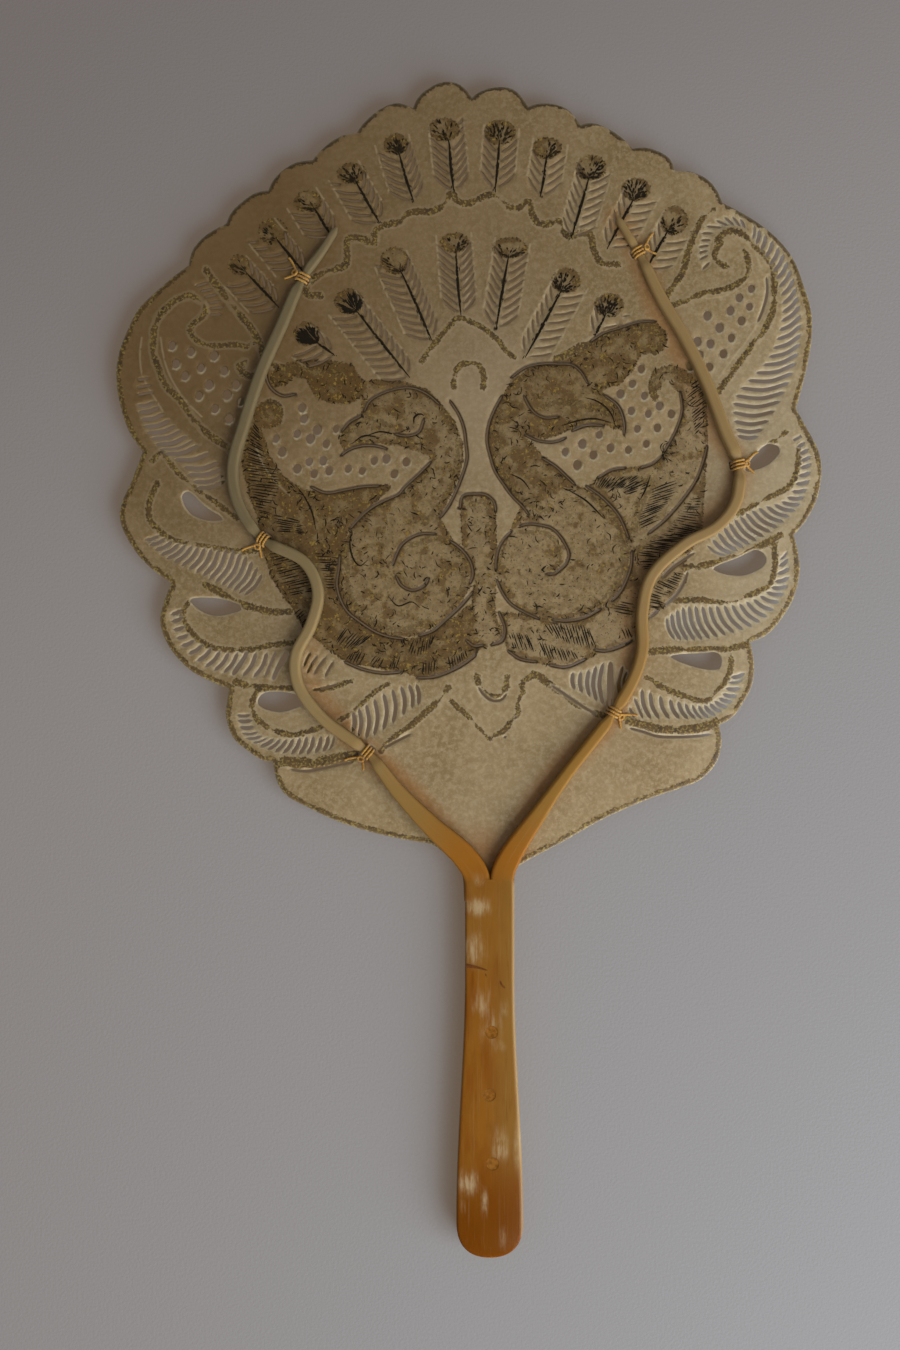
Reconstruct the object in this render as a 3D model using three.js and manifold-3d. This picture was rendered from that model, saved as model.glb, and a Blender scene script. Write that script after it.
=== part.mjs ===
// A rigid hand fan: one sheet of pierced hide held between the two halves of a forked horn handle.
// Millimetres, +Z up. The fan lies on its back, and +Y runs from the grip to the top of the leaf.
// Points in the plane are measured from the fork, where the two arms leave the grip.
import * as THREE from "three";
import { mergeVertices } from "three/addons/utils/BufferGeometryUtils.js";
import Module from "manifold-3d";

// Hide leaf
const LEAF_WIDTH = 225.6; // over its widest lobes
const LEAF_HEIGHT = 253.4; // from the fork to the top
const LEAF_THICKNESS = 0.9;
const TONGUE_LENGTH = 33; // hide that runs down inside the grip
const TONGUE_MARGIN = 0.6; // from the side of the hide in the grip to the side of the horn
const LEAF_FIT = 0.1; // between a face of the hide and the horn that lies on it
const TONGUE_END_FIT = 0.5; // between the end of the hide and the step that stops it
const SLIT_WIDTH = 0.9;

// Horn handle
const GRIP_LENGTH = 121; // from the fork to the end
const NECK_WIDTH = 15.6; // just under the fork
const END_WIDTH = 21.2; // where the grip flares before its rounded end
const END_ROUND = 11.5; // length of the rounded end
const END_DEPTH = 3.9; // of a half, at the very end of the grip
const FORK_SINK = 1; // from the fork down to the flat between the arms
const HALF_DEPTH = 4.9; // from the middle of the hide to the outer face of a half
const HALVES_FIT = 0.1; // between the two halves, below the hide
const ARM_ROOT_WIDTH = { left: 8.4, right: 7.8 };
const ARM_WIDTH = 3.6;
const ARM_TIP_WIDTH = 2.3;
const ARM_TIP_DEPTH = 2.4;
const ARM_ROOT_RUN = { left: 62, right: 50 }; // length over which an arm narrows from its root
const ARM_TIP_RUN = 30; // length over which an arm narrows to its tip
const WAIST_WIDTH = 2.4; // an arm where a lashing holds it
const WAIST_SINK = 1.1; // how far a lashing is let into the outer face
const WAIST_RAMP = 2.2; // length over which the waist opens to the full arm

// Horn pegs
const PEG_DIAMETER = 3.7;
const PEG_FIT = 0.15;
const PEG_RECESS = 0.1; // from the end of a peg to the face of the horn
const PEG_FROM_END = { peg_upper: 71.7, peg_middle: 51.9, peg_lower: 30.1 };
const PEG_OFFSET = { peg_upper: 0.5, peg_middle: -0.2, peg_lower: 0.8 };

// Lashing thread
const THREAD_DIAMETER = 0.6;
const TURN_GAP = 0.5; // between neighbouring turns
const THREAD_FIT = 0.3; // between the thread and what it goes round or through
const FRONT_STRANDS = 3; // strands that cross the face of a front arm

// The points below are given for a leaf of this size, and are spread to the size above
const DRAWN_WIDTH = 225.6;
const DRAWN_HEIGHT = 253.4;

// The edge of the leaf, clockwise from the lower notch of the left wing. Each stretch is one curve,
// from a notch through the points given here to the first point of the next stretch.
const EDGE_ABOVE_GRIP = [
  [[-110.9, 135], [-115.4, 141.8], [-118.2, 150.4], [-119.4, 159.4], [-118.4, 167], [-115.4, 174.7],
    [-112.2, 180.8], [-107, 185.9], [-100.3, 191.7]],
  [[-96.2, 194.6], [-95.2, 199], [-92.3, 202.9], [-89.1, 205.4]],
  [[-84.3, 208], [-82.4, 211.8], [-78.6, 215.4], [-74.7, 217.9]],
  [[-70.7, 218.6], [-69, 222.1], [-65.4, 225.6], [-61.3, 227.7]],
  [[-56.5, 228.3], [-54.6, 230.7], [-50.7, 234.2], [-46.6, 236.3]],
  [[-42.4, 237.1], [-39.8, 240.6], [-35, 244.6], [-29.6, 246.6]],
  [[-24.5, 245], [-22.2, 249.1], [-17.1, 252.6], [-12.6, 253.4], [-8.5, 251.8]],
  [[-5.6, 248.3], [-2.7, 250.4], [2.7, 251.7], [8.2, 250.6]],
  [[12.5, 245.4], [15.8, 246.4], [21.3, 246.1], [25.8, 243.8]],
  [[29, 239.5], [33.1, 240.2], [38.2, 238.2], [43, 234.9]],
  [[45.6, 232], [50.1, 232.3], [54.9, 230.7], [58.1, 228.2]],
  [[59.2, 224.8], [64.2, 224.6], [69.3, 222.4], [72.8, 218.6]],
  [[74.4, 214.7], [80.5, 211.5], [86.6, 207.7], [92.6, 202.6], [97.4, 196.2], [100.6, 187.8],
    [102.9, 179.8], [103, 171.2], [101.3, 161.3], [99.4, 153.9]],
  [[98.1, 148.8], [101.9, 141.8], [105.1, 135.7], [106.2, 129.3], [104.8, 120.3], [101.3, 113.3]],
  [[97.3, 108.5], [98.7, 102.7], [99.2, 96.6], [97.1, 88], [92.3, 80.3], [88.2, 76.2]],
  [[83.4, 74.2], [84.6, 66.9], [83.7, 59.8], [79.8, 52.8], [77, 49.6]],
  [[73.4, 47.7], [74.2, 42.2], [72.6, 35.8], [67.7, 30.4], [61, 27.5], [50.1, 23.7], [36.3, 17.6],
    [22.6, 9.9], [12.3, 4.5]],
  [[7.8, 1.6]],
];
const EDGE_PAST_GRIP = [
  [[-13.6, 5.8], [-18.1, 9.3], [-24.8, 10.6], [-35.4, 12.8], [-47.8, 16.6], [-59, 21.8], [-65.1, 25.3],
    [-68, 29.8]],
  [[-69.3, 36], [-72.8, 36.5], [-77.6, 39.7], [-82.1, 43.8], [-84.3, 50.6], [-83.8, 55.7]],
  [[-83.4, 59.4], [-88.5, 61.4], [-95.8, 65.3], [-102.2, 72.3], [-105.3, 80.3], [-104.2, 86.7]],
  [[-101.8, 93.1], [-108, 97.6], [-113.4, 103.4], [-117.8, 111.7], [-117.8, 118.1], [-114.7, 125.1]],
  [EDGE_ABOVE_GRIP[0][0]],
];
const EDGE_STEP = 2.6;

// Lens openings in the lower lobes, each one closed curve
const LENSES = [
  [[-98.4, 121.1], [-96.5, 122.4], [-91, 117.6], [-85, 113.4], [-91, 113.3], [-96.2, 115.8]],
  [[-95.8, 87.7], [-85.6, 88], [-78.9, 85.1], [-86.2, 82.6], [-91.7, 83.8]],
  [[-74.1, 54.4], [-72.8, 57.6], [-63.2, 57.8], [-58.7, 55.2], [-67, 51.8]],
  [[81.8, 129], [84.6, 133.8], [89.3, 137.6], [93, 136], [89.1, 130.9]],
  [[71.5, 97.6], [79.2, 101.1], [86.2, 103.7], [88.6, 99.8], [80.8, 95.4]],
  [[57.8, 69.6], [68.3, 70.7], [73.4, 70.6], [73.8, 65.9], [67.4, 65.8]],
];
const LENS_SIDES = 16;

// Rows of slits: each slit runs from a point of the inner curve to the same point of the outer curve
const SLIT_ROWS = [
  { count: 16,
    inner: [[-107.4, 151.7], [-101.3, 144.3], [-93.9, 137.9], [-87.2, 132.5], [-84.3, 125.1]],
    outer: [[-113.1, 150.4], [-110.2, 142.1], [-104.8, 135], [-98.7, 130.9], [-93.3, 122.9]] },
  { count: 26,
    inner: [[83.7, 203.5], [90.4, 193.3], [93.6, 179.8], [89.1, 165.1], [78.2, 152.3], [79.2, 139.5]],
    outer: [[84, 208], [93.6, 199], [98.7, 185], [99.4, 169.3], [94.2, 153.3], [85.6, 139.2]] },
  { count: 19,
    inner: [[-107.7, 109.4], [-98.7, 105.6], [-88.8, 104.2], [-78.2, 102.1], [-71.2, 93.8]],
    outer: [[-111.8, 108.5], [-104.8, 101.8], [-93.9, 96.3], [-84.3, 91.5], [-76.6, 88.6]] },
  { count: 15,
    inner: [[-98.7, 85.4], [-95.8, 76.2], [-86.2, 71.4], [-75.4, 71], [-63.8, 71]],
    outer: [[-102.2, 83.8], [-100, 74.9], [-91, 66.2], [-79.8, 63.4], [-68.3, 62.1]] },
  { count: 16,
    inner: [[-76.6, 51.5], [-73.4, 44.8], [-65.8, 43.2], [-57.4, 44.2], [-49.1, 44.2]],
    outer: [[-81.1, 51.5], [-78.6, 44.2], [-69.9, 39.4], [-59.7, 38.1], [-50.7, 39.7]] },
  { count: 24,
    inner: [[96.2, 140.8], [99.4, 131.5], [94.9, 120.3], [84, 116.5], [75.4, 111.4], [67.7, 103]],
    outer: [[98.4, 142.1], [102.9, 133.1], [100.6, 120.3], [92.3, 111], [81.8, 104.6], [73.8, 101.1]] },
  { count: 22,
    inner: [[93, 101.1], [90.1, 91.8], [81.4, 87], [70.9, 85.8], [61.6, 85.4], [54.9, 80.6]],
    outer: [[95.2, 104], [95.5, 92.5], [88.2, 81.6], [76.3, 76.5], [65.4, 74.6], [57.1, 75.2]] },
  { count: 16,
    inner: [[77.3, 63.4], [73.8, 57], [67.7, 54.1], [59, 55.7], [47.8, 59.5]],
    outer: [[81.9, 65], [78.6, 56], [71.2, 50.2], [62.2, 49.6], [50.7, 49.6]] },
  { count: 10,
    inner: [[-44.3, 51.5], [-39.5, 54.4], [-32.5, 58.6], [-25.8, 60.8], [-21, 60.5]],
    outer: [[-44.5, 45.8], [-39.5, 43.2], [-32.5, 47], [-24.8, 52.8], [-21, 54.7]] },
  { count: 9,
    inner: [[25.9, 64.6], [31.2, 65.3], [36.3, 67.5], [41.4, 67.5], [44.5, 64.3]],
    outer: [[26.4, 59.2], [31.5, 57], [36.3, 54.1], [40.8, 55], [43.4, 59.2]] },
];

// Where a lashing holds the front and back arm of a side together
const TIES = {
  left: { bottom: [-38.9, 39], middle: [-72.2, 106.9], top: [-59.7, 190.4] },
  right: { bottom: [39.5, 51.8], middle: [79.2, 130.6], top: [47.5, 198.7] },
};

// The route of each arm: root to bottom tie, bottom to middle tie, middle to top tie, top tie to tip
const ROUTES = {
  front: {
    left: [
      [[-3.9, -8], [-4.6, 0], [-8.6, 6.4], [-18.8, 15.9], [-29.6, 27.2]],
      [[-53.6, 50.4], [-61, 60.8], [-61.6, 69.8], [-56.8, 79.7], [-54.6, 90.2], [-58.7, 99.4]],
      [[-79.8, 117.8], [-81.8, 129.3], [-78.2, 143.7], [-72.8, 160.3], [-66.1, 175.7]],
      [[-53.9, 198.4], [-48.8, 206.4]],
    ],
    right: [
      [[3.9, -8], [4.4, 0], [7, 6.6], [15.5, 19.5], [24.5, 32.3]],
      [[45.9, 63], [48.5, 71.7], [48.5, 83.8], [51.4, 95], [62.2, 105.3], [72.5, 111], [78.2, 118.7]],
      [[75, 140.8], [69, 156.8], [62.2, 170.9], [54.2, 184.6]],
      [[44.6, 203.2], [40.8, 209.6]],
    ],
  },
  back: {
    left: [
      [[-3.9, -8], [-4.6, 0], [-8, 6.8], [-16.8, 16.6], [-27.7, 28.5]],
      [[-51.4, 52.2], [-58.1, 62.1], [-58.7, 69.8], [-54.9, 79], [-52.6, 89.6], [-57.5, 99.8]],
      [[-81.5, 116.6], [-84.3, 128.6], [-80.5, 143.7], [-74.4, 160.3], [-66.7, 175.7]],
      [[-53.9, 198.4], [-48.8, 206.4]],
    ],
    right: [
      [[3.9, -8], [4.4, 0], [6.5, 6.6], [13, 20.2], [22.4, 33.4]],
      [[43.8, 63.4], [45.6, 72.3], [45.6, 84.5], [48.8, 97], [60.3, 107.8], [69.3, 113], [77, 119.7]],
      [[73.5, 140.2], [66.4, 155.5], [59.7, 169.9], [52.6, 184]],
      [[44.6, 203.2], [40.8, 209.6]],
    ],
  },
};
const STATION_STEP = 6; // between the cross sections of an arm
const LEAST_STATION_STEP = 1.4;

// Half of a cross section, from the inner face round to the outer face, as shares of width and depth
const ARM_SECTION = [[1, 0.5], [0.8, 0.86], [0.42, 1]];
const GRIP_SECTION = [[1, 0.45], [0.94, 0.74], [0.8, 0.93], [0.56, 1]];

// Worked out from the sizes above
const THREAD_RADIUS = THREAD_DIAMETER / 2;
const PITCH = THREAD_DIAMETER + TURN_GAP;
const TURNS = FRONT_STRANDS - 0.5;
const LASHING_LENGTH = TURNS * PITCH + THREAD_DIAMETER;
const LOOP_HALF_WIDTH = WAIST_WIDTH / 2 + THREAD_FIT + THREAD_RADIUS;
const ROUND_SIDES = 24; // of a peg and its hole
const THREAD_SIDES = 6;
const STEPS_PER_TURN = 24;
const SQUARENESS = 0.6; // of a lashing's loop: 1 is an ellipse, and less is squarer
const CUT_OVERRUN = 2; // how far a cutting solid runs past what it cuts
const SHEET_REACH = 600; // wider than any part of the hide
const TONGUE_TOP = -0.8; // where the hide in the grip widens into the leaf
const END_FLAT_ANGLE = 1.4; // radians, where the rounded end meets the small flat at its tip

const HIDE = new THREE.MeshStandardMaterial({ name: "hide", color: 0xa8936c, roughness: 0.6 });
const HORN = new THREE.MeshStandardMaterial({ name: "horn", color: 0xa06c2e, roughness: 0.32 });
const PEG_HORN = new THREE.MeshStandardMaterial({ name: "peg_horn", color: 0x8f6d3c, roughness: 0.4 });
const THREAD = new THREE.MeshStandardMaterial({ name: "thread", color: 0xc08c35, roughness: 0.55 });

const wasm = await Module();
wasm.setup();

// A closed geometry as a solid that can be joined and cut
function solidOf(geometry) {
  const bare = geometry.index ? geometry.toNonIndexed() : geometry.clone();
  bare.deleteAttribute("normal");
  bare.deleteAttribute("uv");
  const merged = mergeVertices(bare, 1e-4);
  return new wasm.Manifold(
    new wasm.Mesh({
      numProp: 3,
      vertProperties: merged.attributes.position.array,
      triVerts: new Uint32Array(merged.index.array),
    }),
  );
}

function meshOf(name, solid, material) {
  const made = solid.getMesh();
  const geometry = new THREE.BufferGeometry();
  geometry.setAttribute("position", new THREE.BufferAttribute(made.vertProperties, 3));
  geometry.setIndex(new THREE.BufferAttribute(made.triVerts, 1));
  geometry.computeVertexNormals();
  const mesh = new THREE.Mesh(geometry, material);
  mesh.name = name;
  return mesh;
}

const joined = (solids) => solids.reduce((whole, solid) => whole.add(solid));
const mix = THREE.MathUtils.lerp;
const smooth = THREE.MathUtils.smoothstep;

// A given point in the plane, spread with the leaf above the fork
function flat([x, y]) {
  const rise = y > 0 ? LEAF_HEIGHT / DRAWN_HEIGHT : 1;
  return new THREE.Vector2((x * LEAF_WIDTH) / DRAWN_WIDTH, y * rise);
}

function onPlane(point) {
  const { x, y } = flat(point);
  return new THREE.Vector3(x, y, 0);
}

// A flat shape given thickness evenly on both sides of the middle of the hide
function plate(points, thickness) {
  const geometry = new THREE.ExtrudeGeometry(new THREE.Shape(points), {
    depth: thickness,
    bevelEnabled: false,
  });
  return solidOf(geometry.translate(0, 0, -thickness / 2));
}

const cutter = (points) => plate(points, LEAF_THICKNESS + 2 * CUT_OVERRUN);

// Rings of equal point count joined into one closed solid
function loft(rings) {
  const count = rings[0].length;
  const last = (rings.length - 1) * count;
  const index = [];
  for (let ring = 0; ring < rings.length - 1; ring++) {
    for (let k = 0; k < count; k++) {
      const a = ring * count + k;
      const b = ring * count + ((k + 1) % count);
      index.push(a, b, a + count, b, b + count, a + count);
    }
  }
  for (let k = 1; k < count - 1; k++) {
    index.push(0, k + 1, k);
    index.push(last, last + k, last + k + 1);
  }
  const geometry = new THREE.BufferGeometry().setFromPoints(rings.flat());
  geometry.setIndex(index);
  return solidOf(geometry);
}

// One ring of a half: flat on the side of the hide, rounded outside. Side is 1 in front, -1 at the back.
function sectionRing(section, centre, across, halfWidth, depth, side) {
  const inner = HALVES_FIT / 2;
  const right = [[1, 0], ...section];
  const left = right.map(([w, d]) => [-w, d]).reverse();
  const ring = [...right, ...left].map(([w, d]) =>
    new THREE.Vector3(
      centre.x + across.x * w * halfWidth,
      centre.y + across.y * w * halfWidth,
      side * mix(inner, depth, d),
    ));
  return side > 0 ? ring : ring.reverse();
}

// The width of the grip at a height over the fork, which is negative along the grip
function gripWidth(y) {
  const flareStart = -GRIP_LENGTH + END_ROUND;
  return mix(END_WIDTH, NECK_WIDTH, smooth(y, flareStart, -TONGUE_LENGTH));
}

function gripSolid(side) {
  const across = new THREE.Vector2(1, 0);
  const roundSteps = 7;
  const bodySteps = 10;
  const ringAt = (y, share) => sectionRing(GRIP_SECTION, new THREE.Vector2(0, y), across,
    (share * gripWidth(y)) / 2, mix(END_DEPTH, HALF_DEPTH, share), side);
  const rings = [];
  for (let k = 0; k < roundSteps; k++) {
    const angle = END_FLAT_ANGLE * (1 - k / roundSteps);
    const y = -GRIP_LENGTH + END_ROUND * (1 - Math.sin(angle) / Math.sin(END_FLAT_ANGLE));
    rings.push(ringAt(y, Math.cos(angle)));
  }
  const bodyStart = -GRIP_LENGTH + END_ROUND;
  for (let k = 0; k <= bodySteps; k++) {
    rings.push(ringAt(mix(bodyStart, -FORK_SINK, k / bodySteps), 1));
  }
  return loft(rings.reverse());
}

// The smooth line of an arm, and how far along it each tie lies
class ArmLine {
  constructor(half, side) {
    const [root, lower, upper, tip] = ROUTES[half][side];
    this.side = side;
    const { bottom, middle, top } = TIES[side];
    const points = [...root, bottom, ...lower, middle, ...upper, top, ...tip];
    this.curve = new THREE.CatmullRomCurve3(points.map(onPlane));
    this.curve.arcLengthDivisions = 1200;
    this.length = this.curve.getLength();
    this.ties = Object.values(TIES[side]).map((tie) => this.distanceTo(tie));
  }

  distanceTo(point) {
    const wanted = onPlane(point);
    const samples = Math.round(this.length * 10);
    const gaps = Array.from({ length: samples + 1 },
      (_, k) => this.curve.getPointAt(k / samples).distanceTo(wanted));
    return (gaps.indexOf(Math.min(...gaps)) / samples) * this.length;
  }

  // How much of a waist there is at a distance along the arm, from 0 to 1
  waist(s) {
    const reach = LASHING_LENGTH / 2 + THREAD_FIT;
    const shares = this.ties.map((tie) => 1 - smooth(Math.abs(s - tie), reach, reach + WAIST_RAMP));
    return Math.max(...shares);
  }

  width(s) {
    const rooted = mix(ARM_ROOT_WIDTH[this.side], ARM_WIDTH, smooth(s, 0, ARM_ROOT_RUN[this.side]));
    const tipped = mix(rooted, ARM_TIP_WIDTH, smooth(s, this.length - ARM_TIP_RUN, this.length));
    return mix(tipped, Math.min(WAIST_WIDTH, tipped), this.waist(s));
  }

  fullDepth(s) {
    const share = Math.max(0, (s - this.ties[1]) / (this.length - this.ties[1]));
    return mix(HALF_DEPTH, ARM_TIP_DEPTH, share);
  }

  depth(s) {
    return this.fullDepth(s) - WAIST_SINK * this.waist(s);
  }

  direction(s) {
    return this.curve.getTangentAt(THREE.MathUtils.clamp(s / this.length, 0, 1));
  }

  // Places of the cross sections: even steps, with more at each waist
  stations() {
    const steps = Math.round(this.length / STATION_STEP);
    const even = Array.from({ length: steps + 1 }, (_, k) => (k / steps) * this.length);
    const reach = LASHING_LENGTH / 2 + THREAD_FIT;
    const offsets = [reach, reach + WAIST_RAMP / 2, reach + WAIST_RAMP];
    const extra = this.ties.flatMap((tie) => offsets.flatMap((offset) => [tie - offset, tie + offset]));
    const kept = even.filter((s) => extra.every((e) => Math.abs(e - s) > LEAST_STATION_STEP));
    return [...kept, ...extra].filter((s) => s >= 0 && s <= this.length).sort((a, b) => a - b);
  }
}

const ARM_LINES = {};
for (const half of ["front", "back"]) {
  ARM_LINES[half] = { left: new ArmLine(half, "left"), right: new ArmLine(half, "right") };
}

function armSolid(half, side) {
  const line = ARM_LINES[half][side];
  const rings = line.stations().map((s) => {
    const along = line.direction(s);
    const across = new THREE.Vector2(along.y, -along.x);
    const centre = line.curve.getPointAt(s / line.length);
    return sectionRing(ARM_SECTION, centre, across, line.width(s) / 2, line.depth(s),
      half === "front" ? 1 : -1);
  });
  return loft(rings.reverse());
}

function pegSolid(name, radius, length) {
  const geometry = new THREE.CylinderGeometry(radius, radius, length, ROUND_SIDES);
  geometry.rotateX(Math.PI / 2);
  geometry.translate(PEG_OFFSET[name], -GRIP_LENGTH + PEG_FROM_END[name], 0);
  return solidOf(geometry);
}

function handleHalf(half) {
  const side = half === "front" ? 1 : -1;
  const body = joined([gripSolid(side), armSolid(half, "left"), armSolid(half, "right")]);
  const slotStart = -TONGUE_LENGTH - TONGUE_END_FIT;
  const hideSlot = new THREE.BoxGeometry(SHEET_REACH, SHEET_REACH, LEAF_THICKNESS + 2 * LEAF_FIT);
  hideSlot.translate(0, slotStart + SHEET_REACH / 2, 0);
  const holes = Object.keys(PEG_FROM_END).map((name) =>
    pegSolid(name, PEG_DIAMETER / 2 + PEG_FIT, 2 * HALF_DEPTH + 2 * CUT_OVERRUN));
  return [solidOf(hideSlot), ...holes].reduce((left, cut) => left.subtract(cut), body);
}

// A place where a lashing goes round both arms of a side
class TiePlace {
  constructor(side, level) {
    const tieNumber = Object.keys(TIES[side]).indexOf(level);
    const front = ARM_LINES.front[side];
    const back = ARM_LINES.back[side];
    this.centre = flat(TIES[side][level]);
    const along = front.direction(front.ties[tieNumber]).add(back.direction(back.ties[tieNumber]));
    this.along = new THREE.Vector2(along.x, along.y).normalize();
    this.across = new THREE.Vector2(this.along.y, -this.along.x);
    const depths = [front, back].map((line) => line.depth(line.ties[tieNumber]));
    this.halfHeight = Math.max(...depths) + THREAD_FIT + THREAD_RADIUS;
  }

  // A point in the plane, from distances along and across the arms
  at(along, across) {
    return this.centre.clone().addScaledVector(this.along, along).addScaledVector(this.across, across);
  }

  // How far along the arms the thread is after a number of turns
  advance(turns) {
    return PITCH * (turns - TURNS / 2);
  }

  // The slot in the hide beside the arms, long enough for the turns that pass through it
  slot(side) {
    const first = side < 0 ? 1 : 0.5;
    const last = side < 0 ? Math.floor(TURNS) : TURNS - 1;
    const low = this.advance(first) - THREAD_RADIUS - THREAD_FIT;
    const high = this.advance(last) + THREAD_RADIUS + THREAD_FIT;
    const near = side * (LOOP_HALF_WIDTH - THREAD_RADIUS - THREAD_FIT);
    const far = side * (LOOP_HALF_WIDTH + THREAD_RADIUS + THREAD_FIT);
    return [this.at(low, near), this.at(high, near), this.at(high, far), this.at(low, far)];
  }
}

// The line of the thread: it rises from the face of the hide, winds round both arms through the slots
// beside them, and comes down to the face of the hide on the other side
class Lashing extends THREE.Curve {
  constructor(place) {
    super();
    this.place = place;
    this.arcLengthDivisions = 2400;
    const foot = LEAF_THICKNESS / 2 + THREAD_FIT;
    this.lead = Math.asin((foot / place.halfHeight) ** (1 / SQUARENESS)) / (2 * Math.PI);
  }

  getPoint(t, target = new THREE.Vector3()) {
    const turns = mix(this.lead, TURNS - this.lead, t);
    const angle = Math.PI - 2 * Math.PI * turns;
    const squared = (value) => Math.sign(value) * Math.abs(value) ** SQUARENESS;
    const spot = this.place.at(this.place.advance(turns), LOOP_HALF_WIDTH * squared(Math.cos(angle)));
    return target.set(spot.x, spot.y, this.place.halfHeight * squared(Math.sin(angle)));
  }

  // The least gap between turns of the thread, measured on its points
  leastGap() {
    const perTurn = 4 * STEPS_PER_TURN;
    const points = this.getSpacedPoints(Math.round(TURNS * perTurn));
    let least = Infinity;
    for (let i = 0; i < points.length; i++) {
      for (let k = i + perTurn / 2; k < points.length; k++) {
        least = Math.min(least, points[i].distanceTo(points[k]));
      }
    }
    return least - THREAD_DIAMETER;
  }
}

function lashingSolid(place) {
  const circle = Array.from({ length: THREAD_SIDES }, (_, k) => {
    const angle = (2 * Math.PI * k) / THREAD_SIDES;
    return new THREE.Vector2(THREAD_RADIUS * Math.cos(angle), THREAD_RADIUS * Math.sin(angle));
  });
  const geometry = new THREE.ExtrudeGeometry(new THREE.Shape(circle), {
    extrudePath: new Lashing(place),
    steps: Math.round(TURNS * STEPS_PER_TURN),
    bevelEnabled: false,
  });
  return solidOf(geometry);
}

// The points of an edge made of stretches, each a curve to the start of the next
function edgePoints(stretches) {
  return stretches.flatMap((stretch, k) => {
    const next = stretches[k + 1];
    if (!next) return stretch.map(flat);
    const curve = new THREE.SplineCurve([...stretch, next[0]].map(flat));
    const steps = Math.max(stretch.length, Math.round(curve.getLength() / EDGE_STEP));
    return curve.getSpacedPoints(steps).slice(0, -1);
  });
}

function lensPoints(points) {
  const curve = new THREE.CatmullRomCurve3(points.map(onPlane), true);
  return curve.getSpacedPoints(LENS_SIDES).slice(0, -1).map(({ x, y }) => new THREE.Vector2(x, y));
}

function slitPoints(row, share) {
  const start = new THREE.SplineCurve(row.inner.map(flat)).getPoint(share);
  const end = new THREE.SplineCurve(row.outer.map(flat)).getPoint(share);
  const along = end.clone().sub(start).normalize();
  const side = new THREE.Vector2(along.y, -along.x).multiplyScalar(SLIT_WIDTH / 2);
  return [start.clone().add(side), end.clone().add(side), end.clone().sub(side), start.clone().sub(side)];
}

function leafSolid(places) {
  const tongueHalf = NECK_WIDTH / 2 - TONGUE_MARGIN;
  const tongue = [[tongueHalf, TONGUE_TOP], [tongueHalf, -TONGUE_LENGTH],
    [-tongueHalf, -TONGUE_LENGTH], [-tongueHalf, TONGUE_TOP]].map(([x, y]) => new THREE.Vector2(x, y));
  const edge = [...edgePoints(EDGE_ABOVE_GRIP), ...tongue, ...edgePoints(EDGE_PAST_GRIP).slice(0, -1)];
  const slits = SLIT_ROWS.flatMap((row) =>
    Array.from({ length: row.count }, (_, k) => slitPoints(row, (k + 0.5) / row.count)));
  const threadSlots = places.flatMap((place) => [place.slot(-1), place.slot(1)]);
  const cuts = joined([...LENSES.map(lensPoints), ...slits, ...threadSlots].map(cutter));
  return plate(edge, LEAF_THICKNESS).subtract(cuts);
}

const places = {};
for (const side of Object.keys(TIES)) {
  for (const level of Object.keys(TIES[side])) places[`tie_${side}_${level}`] = new TiePlace(side, level);
}

const fan = new THREE.Group();
fan.add(meshOf("leaf", leafSolid(Object.values(places)), HIDE));
fan.add(meshOf("handle_front", handleHalf("front"), HORN));
fan.add(meshOf("handle_back", handleHalf("back"), HORN));
for (const name of Object.keys(PEG_FROM_END)) {
  fan.add(meshOf(name, pegSolid(name, PEG_DIAMETER / 2, 2 * (HALF_DEPTH - PEG_RECESS)), PEG_HORN));
}
for (const [name, place] of Object.entries(places)) {
  fan.add(meshOf(name, lashingSolid(place), THREAD));
  console.log(`${name}: least gap between turns ${new Lashing(place).leastGap().toFixed(2)} mm`);
}

// The origin is under the middle of the fan's box, on the surface that it lies on
const box = new THREE.Box3().setFromObject(fan);
const middle = box.getCenter(new THREE.Vector3());
fan.position.set(-middle.x, -middle.y, -box.min.z);

const root = new THREE.Group();
root.add(fan);
export default root;
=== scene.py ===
"""A rigid hand fan of pierced rawhide in a forked horn handle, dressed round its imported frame."""

import logging
import math
import random
from dataclasses import dataclass, field
from enum import Enum

import bmesh
import bpy
import numpy as np
from bpy.types import Material, Mesh, Node, NodeSocket, NodeTree, Object
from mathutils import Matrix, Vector, geometry, kdtree
from mathutils.bvhtree import BVHTree

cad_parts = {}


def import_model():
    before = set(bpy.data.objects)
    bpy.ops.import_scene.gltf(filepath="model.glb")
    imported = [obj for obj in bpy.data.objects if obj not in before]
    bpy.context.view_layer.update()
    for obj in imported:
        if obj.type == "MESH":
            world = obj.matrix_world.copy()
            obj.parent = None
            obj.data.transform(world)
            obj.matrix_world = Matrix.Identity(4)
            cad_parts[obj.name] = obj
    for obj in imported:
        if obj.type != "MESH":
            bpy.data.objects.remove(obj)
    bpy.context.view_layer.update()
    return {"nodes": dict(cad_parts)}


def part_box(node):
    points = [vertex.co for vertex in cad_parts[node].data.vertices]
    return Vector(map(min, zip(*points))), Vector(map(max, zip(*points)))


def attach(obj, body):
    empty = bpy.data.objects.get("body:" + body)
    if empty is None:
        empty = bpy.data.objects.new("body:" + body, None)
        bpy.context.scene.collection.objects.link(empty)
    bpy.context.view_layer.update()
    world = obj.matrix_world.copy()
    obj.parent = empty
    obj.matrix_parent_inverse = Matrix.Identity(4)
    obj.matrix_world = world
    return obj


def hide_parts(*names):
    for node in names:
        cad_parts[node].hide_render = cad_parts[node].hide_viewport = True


LOG = logging.getLogger("hand_fan")
Array = np.ndarray
ROOT = "root"
SEED = 7

# The ornament is placed by points read on the picture of the fan, in its pixels.
PIXEL_MM = 0.32
FORK_PIXEL = (489.5, 874.0)
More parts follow.
